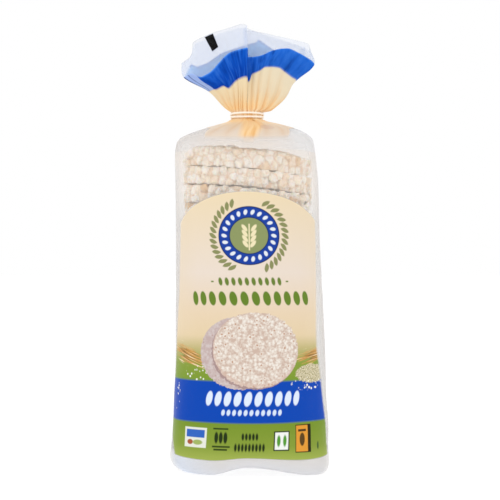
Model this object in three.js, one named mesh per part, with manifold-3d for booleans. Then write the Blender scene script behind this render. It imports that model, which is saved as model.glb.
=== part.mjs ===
// A film bag holding a tall stack of puffed rice cakes, standing on its folded bottom.
// The mouth is gathered, bound with a twist tie and flares above it in a pleated fan.
// Millimetres, +Z up, the printed front faces -Y, and the bag stands on z = 0.
import * as THREE from "three";
import { mergeVertices } from "three/addons/utils/BufferGeometryUtils.js";
import Module from "manifold-3d";

// ---- Driving dimensions ----
const cakeRadius = 46; // one puffed rice cake, across its flat face
const cakeThickness = 12.8;
const cakeCount = 17;
const underStack = 7; // the folded film and air under the lowest cake
const filmSlack = 5; // the film hangs this far off the rim of the cakes at mid height
const bottomSplay = 3.6; // the folded bottom pulls the film this much wider, and flatter front to back
const rightSquareness = 3.2; // how square the bottom's right front corner is folded, round at 0
const leftSquareness = 0.6; // the same for its left front corner
const topLean = -2.3; // the bag leans this far to its left at the top of the stack

const tieHeight = 250.8; // centre of the twist tie
const neckHalfWidth = 10.9;
const neckHalfDepth = 8.2;
const neckShift = -1; // the neck stands this far to the left of the stack
const fanLift = 65; // the mouth's highest corner above the tie

const archLift = 5.7; // the front of the bottom is drawn up this far between its two lobes
const backArchLift = 4;

const shoulderPleats = 19; // folds that run in to the neck
const shoulderPleatDepth = 1.5;
const fanPleats = 11; // folds that run out from the neck, on each layer
const fanPleatDepth = 1.3;

const ribbonWidth = 1.4; // twist tie: a narrow wire ribbon, wound twice round the neck
const ribbonThickness = 0.9;
const frontSpread = 1.4; // its turns lie this far above and below the tie's height at the front
const backSpread = 0.5; // and this far at the back, where they meet
const tieClearance = 0.35;
const tailLength = 17; // the twisted ends, at the back

// ---- Resolution ----
const ringPoints = 84; // points round the bag, an even number
const fanRings = 16;

// ---- Worked out ----
const stackTop = underStack + cakeCount * cakeThickness;
const bodyHalf = cakeRadius + filmSlack;
const tau = 2 * Math.PI;

const smooth = (low, high, value) => THREE.MathUtils.smoothstep(value, low, high);
const mix = (from, to, share) => from + (to - from) * share;

// ---- Body: stations from the floor to just above the tie ----
// Each station is a height, the half width, the half depth and the shift of its centre along X.
const stations = [
  { z: 0.9, width: bodyHalf + 0.6, depth: bodyHalf - 4.2, shift: 2.2 },
  { z: 3.6, width: bodyHalf + 3.6, depth: bodyHalf - 3.4, shift: 1.3 },
  { z: 8.5, width: bodyHalf + 5.2, depth: bodyHalf - 3, shift: 0.5 },
  { z: 14, width: bodyHalf + bottomSplay + 1.4, depth: bodyHalf - bottomSplay, shift: 0.6 },
  { z: 30, width: bodyHalf + bottomSplay + 1, depth: bodyHalf - bottomSplay + 0.4, shift: 1.3 },
  { z: 50, width: bodyHalf + bottomSplay - 0.2, depth: bodyHalf - 2.4, shift: 1.2 },
  { z: 77, width: bodyHalf + 2.3, depth: bodyHalf - 1.2, shift: 1.6 },
  { z: 120, width: bodyHalf + 1.4, depth: bodyHalf, shift: 0.8 },
  { z: 162, width: bodyHalf + 0.4, depth: bodyHalf, shift: 0.1 },
  { z: 184, width: bodyHalf + 0.2, depth: bodyHalf - 0.2, shift: -0.2 },
  { z: 205, width: bodyHalf, depth: bodyHalf - 0.6, shift: -0.9 },
  { z: stackTop - 2, width: bodyHalf - 0.8, depth: bodyHalf - 1.2, shift: topLean },
  { z: stackTop + 6.4, width: bodyHalf - 2, depth: bodyHalf - 2.6, shift: topLean },
  { z: stackTop + 10.7, width: cakeRadius, depth: cakeRadius - 0.6, shift: -1.3 },
  { z: stackTop + 14.9, width: cakeRadius - 7.8, depth: cakeRadius - 8.2, shift: 0 },
  { z: stackTop + 19.2, width: 25.2, depth: 24.2, shift: 0 },
  { z: tieHeight - 4.6, width: 16.4, depth: 14.2, shift: -0.5 },
  { z: tieHeight - 3.3, width: neckHalfWidth + 1.9, depth: neckHalfDepth + 1.6, shift: -0.8 },
  { z: tieHeight - 2.4, width: neckHalfWidth + 0.1, depth: neckHalfDepth + 0.1, shift: neckShift },
  { z: tieHeight, width: neckHalfWidth, depth: neckHalfDepth, shift: neckShift },
  { z: tieHeight + 2.4, width: neckHalfWidth + 0.1, depth: neckHalfDepth + 0.1, shift: neckShift },
];

// Extra rings between two stations, so that long stretches stay smooth.
const ringsBetween = 2;

// A smooth curve through one measure of the stations. The place counts stations.
function along(measure, place) {
  const last = stations.length - 1;
  const first = Math.min(Math.floor(place), last - 1);
  const share = place - first;
  const at = (index) => stations[THREE.MathUtils.clamp(index, 0, last)];
  const height = (index) => at(index).z;
  const value = (index) => at(index)[measure];
  const slope = (index) => {
    const low = Math.max(index - 1, 0);
    const high = Math.min(index + 1, last);
    return (value(high) - value(low)) / (height(high) - height(low));
  };
  const run = height(first + 1) - height(first);
  const s2 = share * share;
  const s3 = s2 * share;
  return (
    value(first) * (2 * s3 - 3 * s2 + 1) +
    value(first + 1) * (3 * s2 - 2 * s3) +
    slope(first) * run * (s3 - 2 * s2 + share) +
    slope(first + 1) * run * (s3 - s2)
  );
}

// Folds of film that gather towards the neck, deepest on the slope of the shoulder.
function shoulderFold(angle, z) {
  const inwards = smooth(stackTop + 2, stackTop + 15, z);
  const boundByTie = 1 - smooth(tieHeight - 7, tieHeight - 3.2, z);
  const wave =
    0.6 * Math.sin(shoulderPleats * angle) + 0.4 * Math.sin(12 * angle + 1.3);
  return shoulderPleatDepth * inwards * boundByTie * wave;
}

// Slow hollows down the sides, where the film bridges from cake to cake.
function sideHollow(angle, z) {
  const onTheSide = smooth(12, 40, z) * (1 - smooth(stackTop - 10, stackTop + 6, z));
  return 0.45 * onTheSide * Math.sin(5 * angle + 0.021 * z);
}

// The outline from above, on a unit scale. At the bottom its front corners are folded square.
function plan(angle, z) {
  const across = Math.cos(angle);
  const along = Math.sin(angle);
  const atFront = across > 0 ? rightSquareness : leftSquareness;
  const power = 2 + (along < 0 ? atFront : 0) * (1 - smooth(3, 26, z));
  const reach = Math.pow(Math.abs(across) ** power + Math.abs(along) ** power, -1 / power);
  return [reach * across, reach * along];
}

// The bottom is drawn up at the front and at the back, and stands on a lobe at each side.
function bottomArch(x, y, z) {
  const front = { lift: archLift, centre: -1, halfWidth: x < -1 ? 27 : 49, inner: 0 };
  const back = { lift: backArchLift, centre: 2, halfWidth: 30, inner: 16 };
  const side = y < 0 ? front : back;
  const across = THREE.MathUtils.clamp((x - side.centre) / side.halfWidth, -1, 1);
  const rise = 0.5 + 0.5 * Math.cos(Math.PI * across);
  const inwards = THREE.MathUtils.clamp((Math.abs(y) - side.inner) / (44 - side.inner), 0, 1.1);
  const fade = 1 - smooth(3, 16, z);
  return side.lift * rise * inwards * fade;
}

function bodyPoint(angle, place) {
  const z = along("z", place);
  const width = along("width", place);
  const depth = along("depth", place);
  const grow = 1 + (shoulderFold(angle, z) + sideHollow(angle, z)) / Math.max(width, depth);
  const [across, outwards] = plan(angle, z);
  const x = along("shift", place) + width * grow * across;
  const y = depth * grow * outwards;
  return new THREE.Vector3(x, y, z + bottomArch(x, y, z));
}

const ringAngles = Array.from({ length: ringPoints }, (_, i) => (tau * i) / ringPoints);

function bottomRings() {
  const shares = [0.3, 0.62, 0.88];
  const { width, depth, shift } = stations[0];
  return shares.map((share) =>
    ringAngles.map((angle) => {
      const [across, outwards] = plan(angle, 0);
      const x = shift + share * width * across;
      const y = share * depth * outwards;
      return new THREE.Vector3(x, y, bottomArch(x, y, 0));
    }),
  );
}

function bodyRings() {
  const rings = [];
  for (let station = 0; station < stations.length - 1; station++) {
    const tall = stations[station + 1].z - stations[station].z > 15;
    const steps = tall ? ringsBetween : 1;
    for (let step = 0; step < steps; step++)
      rings.push(ringAngles.map((angle) => bodyPoint(angle, station + step / steps)));
  }
  rings.push(ringAngles.map((angle) => bodyPoint(angle, stations.length - 1)));
  return rings;
}

// ---- Fan: the free end of the film above the tie ----
// Ribs run up the fan, from its left fold (across = -1) to its right fold (across = 1). Each rib has a
// point half way up the film and one on the cut edge, as a place along X, a height above the tie and
// how far the middle between the two layers sways towards the back.
const ribs = [
  { across: -1, halfWay: [-28.5, 17.5, 4], mouth: [-48, 38, 13] },
  { across: -0.84, halfWay: [-27.5, 19.5, 2], mouth: [-43.5, 41, 8] },
  { across: -0.7, halfWay: [-24, 23.5, 0], mouth: [-40.4, 53.4, 2] },
  { across: -0.4, halfWay: [-15, 24.5, -3], mouth: [-23.5, 59.3, -6] },
  { across: -0.08, halfWay: [-3.5, 30, -3], mouth: [-5.5, fanLift, -9] },
  { across: 0.02, halfWay: [0, 28.5, -2], mouth: [0.5, fanLift - 3.6, -3] },
  { across: 0.35, halfWay: [12.5, 34.5, -2], mouth: [19.5, 56, -6] },
  { across: 0.72, halfWay: [33, 29.5, -1], mouth: [43.2, 49.4, -8] },
  { across: 0.87, halfWay: [35, 27, 1], mouth: [45.4, 44.4, -3] },
  { across: 1, halfWay: [34, 25.5, 2], mouth: [48.6, 38.2, 0] },
];
const halfWayGap = 9; // half the gap between the front and the back layer, half way up
const lipGap = 3.6; // the same at the mouth

// A point of the fan's front or back layer, straight from rib to rib, as taut film is.
function layerPoint(across, level, behind, halfGap) {
  const next = Math.max(1, ribs.findIndex((rib) => rib.across >= across));
  const from = ribs[next - 1];
  const to = ribs[next];
  const share = (across - from.across) / (to.across - from.across);
  const [x, lift, sway] = from[level].map((value, axis) => mix(value, to[level][axis], share));
  const opening = halfGap * Math.sqrt(Math.max(0, 1 - across * across));
  return new THREE.Vector3(x, sway + behind * opening, tieHeight + lift);
}

// The line that one strand of film takes from the neck to the cut edge.
function strand(angle) {
  const turn = angle <= Math.PI ? angle : tau - angle;
  const across = THREE.MathUtils.clamp(1 - (2 * turn) / Math.PI, -1, 1);
  const behind = angle <= Math.PI ? 1 : -1;
  const curve = new THREE.CatmullRomCurve3([
    bodyPoint(angle, stations.length - 1),
    layerPoint(across, "halfWay", behind, halfWayGap),
    layerPoint(across, "mouth", behind, lipGap),
  ]);
  return Array.from({ length: fanRings }, (_, ring) => {
    const share = (ring + 1) / fanRings;
    const point = curve.getPoint(share);
    const strength = Math.sin(Math.PI * Math.min(1, 1.15 * share));
    point.y += fanPleatDepth * strength * Math.sin(fanPleats * Math.PI * across);
    return point;
  });
}

function fanRingList() {
  const strands = ringAngles.map(strand);
  return Array.from({ length: fanRings }, (_, ring) => strands.map((points) => points[ring]));
}

// ---- Skins ----
// Joins rings of points into one closed surface, facing out for rings that turn anticlockwise upwards.
function skin(rings, closeStart, closeEnd) {
  const count = rings[0].length;
  const points = rings.flat();
  const faces = [];
  for (let ring = 0; ring < rings.length - 1; ring++)
    for (let i = 0; i < count; i++) {
      const next = (i + 1) % count;
      const a = ring * count + i;
      const b = ring * count + next;
      faces.push(a, b, b + count, a, b + count, a + count);
    }
  closeStart(points, faces, 0, count, true);
  closeEnd(points, faces, (rings.length - 1) * count, count, false);
  const geometry = new THREE.BufferGeometry().setFromPoints(points);
  geometry.setIndex(faces);
  geometry.computeVertexNormals();
  return geometry;
}

// Closes a ring with triangles to its middle point.
function closeToMiddle(points, faces, start, count, facesDown) {
  const middle = points.length;
  const sum = new THREE.Vector3();
  for (let i = 0; i < count; i++) sum.add(points[start + i]);
  points.push(sum.divideScalar(count));
  for (let i = 0; i < count; i++) {
    const here = start + i;
    const next = start + ((i + 1) % count);
    faces.push(...(facesDown ? [next, here, middle] : [here, next, middle]));
  }
}

// Closes a flat ring from its front layer straight across to its back layer.
function closeAcross(points, faces, start, count) {
  const at = (i) => start + ((i + count) % count);
  for (let i = 0; i < count / 2; i++) {
    const back = at(i);
    const backNext = at(i + 1);
    const front = at(-i);
    const frontNext = at(-i - 1);
    if (back !== front) faces.push(front, back, backNext);
    if (backNext !== frontNext) faces.push(front, backNext, frontNext);
  }
}

// ---- Twist tie ----
// A flat ribbon section, long side along the ring's axis.
const ribbonSides = 8;
function ribbonSection(outwards, upwards) {
  const roundness = 0.55; // between a rectangle at 0 and an ellipse at 1
  return Array.from({ length: ribbonSides }, (_, i) => {
    const turn = (tau * (i + 0.5)) / ribbonSides;
    const soften = (value) => Math.sign(value) * Math.pow(Math.abs(value), roundness);
    const out = (ribbonThickness / 2) * soften(Math.cos(turn));
    const up = (ribbonWidth / 2) * soften(Math.sin(turn));
    return outwards.clone().multiplyScalar(out).addScaledVector(upwards, up);
  });
}

// One turn of ribbon round the neck: the upper one, side 1, or the lower one, side -1.
function ribbonTurn(side) {
  const steps = 44;
  const width = neckHalfWidth + tieClearance + ribbonThickness / 2;
  const depth = neckHalfDepth + tieClearance + ribbonThickness / 2;
  const rings = Array.from({ length: steps }, (_, step) => {
    const angle = (tau * step) / steps;
    const spread = mix(backSpread, frontSpread, 0.5 - 0.5 * Math.sin(angle));
    const outwards = new THREE.Vector3(Math.cos(angle) / width, Math.sin(angle) / depth, 0);
    outwards.normalize();
    const centre = new THREE.Vector3(
      neckShift + width * Math.cos(angle),
      depth * Math.sin(angle),
      tieHeight + side * spread,
    );
    return ribbonSection(outwards, new THREE.Vector3(0, 0, 1)).map((point) => point.add(centre));
  });
  return closedLoop(rings);
}

// A tube whose last ring joins its first.
function closedLoop(rings) {
  const count = rings[0].length;
  const faces = [];
  rings.forEach((_, ring) => {
    const onward = ((ring + 1) % rings.length) * count;
    for (let i = 0; i < count; i++) {
      const next = (i + 1) % count;
      faces.push(ring * count + i, onward + i, onward + next);
      faces.push(ring * count + i, onward + next, ring * count + next);
    }
  });
  const geometry = new THREE.BufferGeometry().setFromPoints(rings.flat());
  geometry.setIndex(faces);
  return geometry;
}

// The way the two ends run, out from the back of the neck.
const tailRoot = new THREE.Vector3(
  neckShift,
  neckHalfDepth + tieClearance + 0.7 * ribbonThickness,
  tieHeight,
);
const tailRun = new THREE.Vector3(0.42, 0.9, 0.1).normalize();
const tailSideways = new THREE.Vector3(0, 0, 1).cross(tailRun).normalize();
const tailUpwards = tailRun.clone().cross(tailSideways);

// The two ends twisted round each other, as one twisted bar.
function twistedEnds() {
  const steps = 20;
  const halfTurns = 5;
  const rings = Array.from({ length: steps + 1 }, (_, step) => {
    const share = step / steps;
    const turn = Math.PI * (0.5 + halfTurns * share);
    const out = tailSideways.clone().multiplyScalar(Math.cos(turn));
    out.addScaledVector(tailUpwards, Math.sin(turn));
    const across = tailRun.clone().cross(out);
    const centre = tailRoot.clone().addScaledVector(tailRun, 0.7 * tailLength * share);
    return ribbonSection(across, out).map((point) => point.multiplyScalar(1.15).add(centre));
  });
  return skin(rings, closeToMiddle, closeToMiddle);
}

// One loose end, parting from the twist to its own side.
function looseEnd(side) {
  const steps = 5;
  const rings = Array.from({ length: steps + 1 }, (_, step) => {
    const share = step / steps;
    const centre = tailRoot
      .clone()
      .addScaledVector(tailRun, tailLength * mix(0.62, 1, share))
      .addScaledVector(tailSideways, side * (0.45 + 2.6 * share * share))
      .addScaledVector(tailUpwards, -1.2 * share * share);
    const out = tailSideways.clone().addScaledVector(tailRun, -side * 0.8 * share).normalize();
    return ribbonSection(out, tailUpwards).map((point) => point.multiplyScalar(0.9).add(centre));
  });
  return skin(rings, closeToMiddle, closeToMiddle);
}

// ---- Solids ----
const wasm = await Module();
wasm.setup();

function asSolid(geometry) {
  const bare = geometry.clone();
  bare.deleteAttribute("normal");
  const merged = mergeVertices(bare, 1e-4);
  const mesh = new wasm.Mesh({
    numProp: 3,
    vertProperties: new Float32Array(merged.attributes.position.array),
    triVerts: new Uint32Array(merged.index.array),
  });
  const solid = new wasm.Manifold(mesh);
  if (solid.volume() > 0) return solid;
  for (let i = 0; i < mesh.triVerts.length; i += 3)
    [mesh.triVerts[i + 1], mesh.triVerts[i + 2]] = [mesh.triVerts[i + 2], mesh.triVerts[i + 1]];
  return new wasm.Manifold(mesh);
}

function asGeometry(solid) {
  const { vertProperties, triVerts, numProp } = solid.getMesh();
  const positions = new Float32Array((vertProperties.length / numProp) * 3);
  for (let i = 0; i < positions.length / 3; i++)
    positions.set(vertProperties.subarray(i * numProp, i * numProp + 3), i * 3);
  const geometry = new THREE.BufferGeometry();
  geometry.setAttribute("position", new THREE.BufferAttribute(positions, 3));
  geometry.setIndex([...triVerts]);
  geometry.computeVertexNormals();
  return geometry;
}

function bagGeometry() {
  return skin([...bottomRings(), ...bodyRings(), ...fanRingList()], closeToMiddle, closeAcross);
}

function tieGeometry() {
  const parts = [ribbonTurn(-1), ribbonTurn(1), twistedEnds(), looseEnd(-1), looseEnd(1)];
  return asGeometry(parts.map(asSolid).reduce((whole, part) => whole.add(part)));
}

function named(name, geometry, colour, roughness) {
  const material = new THREE.MeshStandardMaterial({ color: colour, roughness, metalness: 0 });
  const mesh = new THREE.Mesh(geometry, material);
  mesh.name = name;
  return mesh;
}

const pack = new THREE.Group();
pack.add(named("bag_of_rice_cakes", bagGeometry(), 0xece2cf, 0.4));
pack.add(named("twist_tie", tieGeometry(), 0xf0dcc2, 0.5));

// The origin is the centre of the box round the whole pack, on the floor.
const box = new THREE.Box3().setFromObject(pack);
const centre = box.getCenter(new THREE.Vector3());
pack.position.set(-centre.x, -centre.y, -box.min.z);

export default pack;
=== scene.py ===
# %% [markdown]
# # A tied bag of puffed rice cakes
# A tall stack of round puffed rice cakes stands in a bag of thin printed film. The mouth of the bag is
# gathered above the stack, bound with a twist tie and left to flare out in a fan.
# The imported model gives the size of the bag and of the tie. Here the plain solid of the bag gives way to
# what it stands for: the film, as thin as film is, and the cakes that show through its clear parts.

# %% Load the frame
import math

import bmesh
import bpy
import numpy as np
from mathutils import Euler, Matrix, Vector
from mathutils.kdtree import KDTree


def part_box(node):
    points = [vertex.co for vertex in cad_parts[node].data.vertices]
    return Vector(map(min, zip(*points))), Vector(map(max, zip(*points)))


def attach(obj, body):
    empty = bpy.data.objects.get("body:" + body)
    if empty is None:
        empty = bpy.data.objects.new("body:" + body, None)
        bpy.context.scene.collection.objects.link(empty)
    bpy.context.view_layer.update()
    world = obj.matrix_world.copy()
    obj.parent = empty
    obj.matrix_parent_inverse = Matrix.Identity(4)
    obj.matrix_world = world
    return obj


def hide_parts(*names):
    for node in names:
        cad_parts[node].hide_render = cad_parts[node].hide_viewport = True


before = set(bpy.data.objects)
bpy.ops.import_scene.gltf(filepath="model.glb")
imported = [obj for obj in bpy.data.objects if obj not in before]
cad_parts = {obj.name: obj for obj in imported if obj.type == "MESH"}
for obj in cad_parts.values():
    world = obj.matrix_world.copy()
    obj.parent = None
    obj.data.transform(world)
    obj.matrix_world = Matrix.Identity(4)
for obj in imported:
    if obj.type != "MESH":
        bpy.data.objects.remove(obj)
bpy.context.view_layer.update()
bpy.ops.object.select_all(action="DESELECT")
MM = 0.001
print("the frame holds", sorted(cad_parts))

# %% [markdown]
# Every size below is in millimetres, as a bag maker would give it, and is turned to metres once, when a
# mesh is written. The drawing puts the middle of the stack at x = 0 and y = 0, while the frame puts its
# origin under the middle of the whole pack. The tie's box in the frame gives the shift between the two.

# %% Sizes of the pack
CAKE_RADIUS = 46.0
CAKE_THICKNESS = 12.8
CAKE_COUNT = 17
UNDER_STACK = 7.0
UNDER_FOLD = 47.0  # film folded in under the stack
STACK_TOP = UNDER_STACK + CAKE_COUNT * CAKE_THICKNESS
BODY_HALF = CAKE_RADIUS + 5
TIE_HEIGHT = 250.8
NECK_WIDTH, NECK_DEPTH, NECK_SHIFT = 10.9, 8.2, -1.0
TIE_REACH = 1.23  # from the neck to the outside of the ribbon

tie_low, tie_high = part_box("twist_tie")
SHIFT_X = (tie_low.x + tie_high.x) / 2 / MM - NECK_SHIFT
SHIFT_Y = tie_low.y / MM + NECK_DEPTH + TIE_REACH
print("the stack stands at", round(SHIFT_X, 2), round(SHIFT_Y, 2), "mm")


def place_points(mesh, points_mm):
    """Writes points of the drawing into a mesh, in metres and in the frame."""
    moved = (np.asarray(points_mm, float) + (SHIFT_X, SHIFT_Y, 0)) * MM
    mesh.vertices.foreach_set("co", moved.astype(np.float32).ravel())
    mesh.update()


# %% [markdown]
# ## The shape of the filled bag
# A bag like this starts as a flat tube of film. It is filled, its bottom folds under the stack and its
# mouth is gathered. So the shape is described as a maker would see it: how wide and how deep the tube is
# at a few heights, which are joined by smooth curves. The bottom sags to a lobe on each side, with the
# film between them drawn up. Its front is folded squarer, and most of all at the right corner.
# The shape could be sculpted by hand too, but a short table can be read, and changed in one place.

# %% Stations up the bag
# height, half width, half depth and lean to the side
STATIONS = [
    (0.9, BODY_HALF + 0.6, BODY_HALF - 4.2, 2.2),
    (3.6, BODY_HALF + 3.6, BODY_HALF - 3.4, 1.3),
    (8.5, BODY_HALF + 5.2, BODY_HALF - 3, 0.5),
    (14, BODY_HALF + 5, BODY_HALF - 3.6, 0.6),
    (30, BODY_HALF + 4.6, BODY_HALF - 3.2, 1.3),
    (50, BODY_HALF + 3.4, BODY_HALF - 2.4, 1.2),
    (77, BODY_HALF + 2.3, BODY_HALF - 1.2, 1.6),
    (120, BODY_HALF + 1.4, BODY_HALF, 0.8),
    (162, BODY_HALF + 0.4, BODY_HALF, 0.1),
    (184, BODY_HALF + 0.2, BODY_HALF - 0.2, -0.2),
    (205, BODY_HALF, BODY_HALF - 0.6, -0.9),
    (STACK_TOP - 2, BODY_HALF - 0.8, BODY_HALF - 1.2, -2.3),
    (STACK_TOP + 6.4, BODY_HALF - 2, BODY_HALF - 2.6, -2.3),
    (STACK_TOP + 10.7, CAKE_RADIUS, CAKE_RADIUS - 0.6, -1.3),
    (STACK_TOP + 14.9, CAKE_RADIUS - 8.3, CAKE_RADIUS - 8.2, 0.7),
    (STACK_TOP + 19.2, 24.1, 23.6, 0.9),
    (TIE_HEIGHT - 4.6, 15.2, 13.6, -0.3),
    (TIE_HEIGHT - 3.3, NECK_WIDTH + 1.9, NECK_DEPTH + 1.6, -0.8),
    (TIE_HEIGHT - 2.4, NECK_WIDTH + 0.1, NECK_DEPTH + 0.1, NECK_SHIFT),
    (TIE_HEIGHT, NECK_WIDTH + 0.2, NECK_DEPTH + 0.2, NECK_SHIFT),
    (TIE_HEIGHT + 2.4, NECK_WIDTH + 0.1, NECK_DEPTH + 0.1, NECK_SHIFT),
]


def smooth_between(low, high, slopes, run, share):
    """A smooth curve from low to high, a share of the way along a run, with a slope at each end."""
    square, cube = share**2, share**3
    return (
        low * (2 * cube - 3 * square + 1)
        + high * (3 * square - 2 * cube)
        + slopes[0] * run * (share - 2 * square + cube)
        + slopes[1] * run * (cube - square)
    )


def along_bag(place):
    """Height, half width, half depth and lean at a place that counts stations."""
    table = np.array(STATIONS)
    last = len(table) - 1
    first = min(int(place), last - 1)
    share = place - first

    def slope(index):
        low, high = max(index - 1, 0), min(index + 1, last)
        return (table[high] - table[low]) / (table[high, 0] - table[low, 0])

    run = table[first + 1, 0] - table[first, 0]
    slopes = slope(first), slope(first + 1)
    return smooth_between(table[first], table[first + 1], slopes, run, share)


print(len(STATIONS), "stations, the widest", 2 * max(station[1] for station in STATIONS), "mm across")

# %% The bottom, and the outline seen from above
ARCH_FRONT, ARCH_BACK = 5.7, 4.0  # how far the bottom film is drawn up
ARCH_LEFT, ARCH_RIGHT, ARCH_BEHIND = 27, 49, 30  # how far the arch reaches from the middle
FOLDED_LEFT, FOLDED_RIGHT = 0.6, 3.2  # how square the front is folded, 0 for a round one


def smooth_step(low, high, value):
    """0 up to low and 1 from high on, with a smooth rise between."""
    share = np.clip((value - low) / (high - low), 0, 1)
    return share * share * (3 - 2 * share)


def bottom_arch(x, y, z):
    """How far the bottom film is drawn up, at the front and at the back."""
    front = y < 0
    lift = np.where(front, ARCH_FRONT, ARCH_BACK)
    reach = np.where(x < -1, ARCH_LEFT, ARCH_RIGHT)
    across = np.clip(np.where(front, (x + 1) / reach, (x - 2) / ARCH_BEHIND), -1, 1)
    rise = 0.5 + 0.5 * np.cos(np.pi * across)
    inner = np.where(front, 0, 16)
    inwards = np.clip((np.abs(y) - inner) / (44 - inner), 0, 1.1)
    return lift * rise * inwards * (1 - smooth_step(3, 16, z))


def plan(angle, z):
    """The outline seen from above, on a unit scale. At the bottom its front is folded square."""
    across, along = np.sin(angle), -np.cos(angle)
    squareness = np.where(along < 0, np.where(across > 0, FOLDED_RIGHT, FOLDED_LEFT), 0)
    power = 2 + squareness * (1 - smooth_step(3, 26, z))
    reach = (np.abs(across) ** power + np.abs(along) ** power) ** (-1 / power)
    return reach * across, reach * along


corner = float(np.hypot(*plan(math.pi / 4, 0)))
print("the right corner of the foot reaches", round(corner, 2), "times as far as a round one")

# %% [markdown]
# Gathered film falls in rounded lobes between sharp creases. The creases are set once, at uneven
# distances round the neck, and the same ones run down the shoulder and up the fan. Each lobe is a
# parabola between its two creases, so the light turns sharply at a crease, as it does on real film. A
# plain wave round the bag would be shorter to write, but it looks like a curtain.
# Film doubles over in a crease and looks denser there, and a crease lies in shade, so how deep each point
# lies in a crease is kept beside its place, for the finish to use.

# %% Creases and lobes
POINTS_ROUND = 264
crease_draw = np.random.default_rng(11)


def crease_angles(count):
    """Angles of the creases round the bag, unevenly spaced, from -pi to pi."""
    steps = crease_draw.uniform(0.45, 1.6, count)
    ends = np.cumsum(steps)
    return -math.pi + 2 * math.pi * ends / ends[-1] + 0.02


def lobes(angle, creases):
    """0 on a crease and up to about 1 in the middle of a wide lobe."""
    edges = np.concatenate([creases - 2 * math.pi, creases, creases + 2 * math.pi])
    after = np.searchsorted(edges, angle)
    low, high = edges[after - 1], edges[after]
    share = (angle - low) / (high - low)
    wide = (high - low) * len(creases) / (2 * math.pi)
    return 4 * share * (1 - share) * np.minimum(wide, 1.6) ** 0.7


ANGLES = -math.pi + 2 * math.pi * (np.arange(POINTS_ROUND) + 0.5) / POINTS_ROUND
NECK_LOBES = lobes(ANGLES, crease_angles(30))
SHOULDER_LOBES = lobes(ANGLES, crease_angles(17))
TUCK_ANGLE, TUCK_HALF = 0.04, 0.07  # one pleat stands up on the front of the shoulder
PLEAT_DEPTH, TUCK_DEPTH, GATHER_DEPTH = 1.0, 1.6, 0.8
print("creases round the bag:", POINTS_ROUND, "points, deepest lobe", round(NECK_LOBES.max(), 2))


# %% Rings of points round the body
def hanging(z):
    """Angles of the print on a ring. At the front it hangs straight down, however the film is folded."""
    across, along = plan(ANGLES, z)
    return np.where(along < 0, np.arcsin(np.clip(across, -1, 1)), ANGLES)


def body_ring(place):
    """One ring of points round the body, shoulder or neck, and how creased each is."""
    z, width, depth, lean = along_bag(place)
    on_shoulder = smooth_step(STACK_TOP + 3, STACK_TOP + 14, z)
    near_neck = smooth_step(STACK_TOP + 12, TIE_HEIGHT - 3, z)
    pleated = on_shoulder * (1 - near_neck)
    tuck = np.exp(-(((ANGLES - TUCK_ANGLE) / TUCK_HALF) ** 2))
    gather = pleated * (PLEAT_DEPTH * (SHOULDER_LOBES - 0.85) + TUCK_DEPTH * tuck)
    gather += GATHER_DEPTH * near_neck * (NECK_LOBES - 1)
    side = smooth_step(10, 40, z) * (1 - smooth_step(STACK_TOP - 10, STACK_TOP + 6, z))
    hollow = 0.45 * np.sin(5 * ANGLES + 0.021 * z) + 0.22 * np.sin(9 * ANGLES - 0.05 * z)
    grow = 1 + (gather + side * hollow) / max(width, depth)
    across, along = plan(ANGLES, z)
    x = lean + width * grow * across
    y = depth * grow * along
    points = np.stack([x, y, np.full_like(x, z) + bottom_arch(x, y, z)], axis=1)
    crease = pleated * (1 - SHOULDER_LOBES) + near_neck * (1 - NECK_LOBES)
    return points, np.clip(crease, 0, 1)


def bottom_ring(share):
    """One ring of the underside, from its middle, share 0, to the first station."""
    z, width, depth, lean = STATIONS[0]
    across, along = plan(ANGLES, z)
    x = lean + share * width * across
    y = share * depth * along
    pad = 0.9 * smooth_step(0.9, 1.0, share)
    return np.stack([x, y, pad + bottom_arch(x, y, 0)], axis=1), np.zeros_like(x)


drawn_up = float(np.ptp(body_ring(0)[0][:, 2]))
print("the film of the first station is drawn up by", round(drawn_up, 1), "mm")

# %% [markdown]
# ## The fan
# Above the tie the film opens again. Its front and back layers are one sheet that turns round a fold at
# each side. The sheet is pinned down by a row of straws, as a fan is by its ribs: for each rib there is
# the distance round the bag, and then the point where the cream print ends, the point where the blue
# print ends and the point on the cut edge. Between the ribs the sheet runs straight, and up a rib it
# follows a smooth curve. One rib turns back on itself behind the middle: the sheet is folded over there.
# A simulated sheet would hang in softer folds, and ribs keep each fold where it is wanted.

# %% Ribs of the fan
PERIMETER = 322.0  # twice the flat width of the tube
CREAM_ABOVE_TIE = 30.0  # film lengths from the tie to each edge of the print
BLUE_ABOVE_TIE = 52.0
MOUTH_ABOVE_TIE = 68.0

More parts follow.
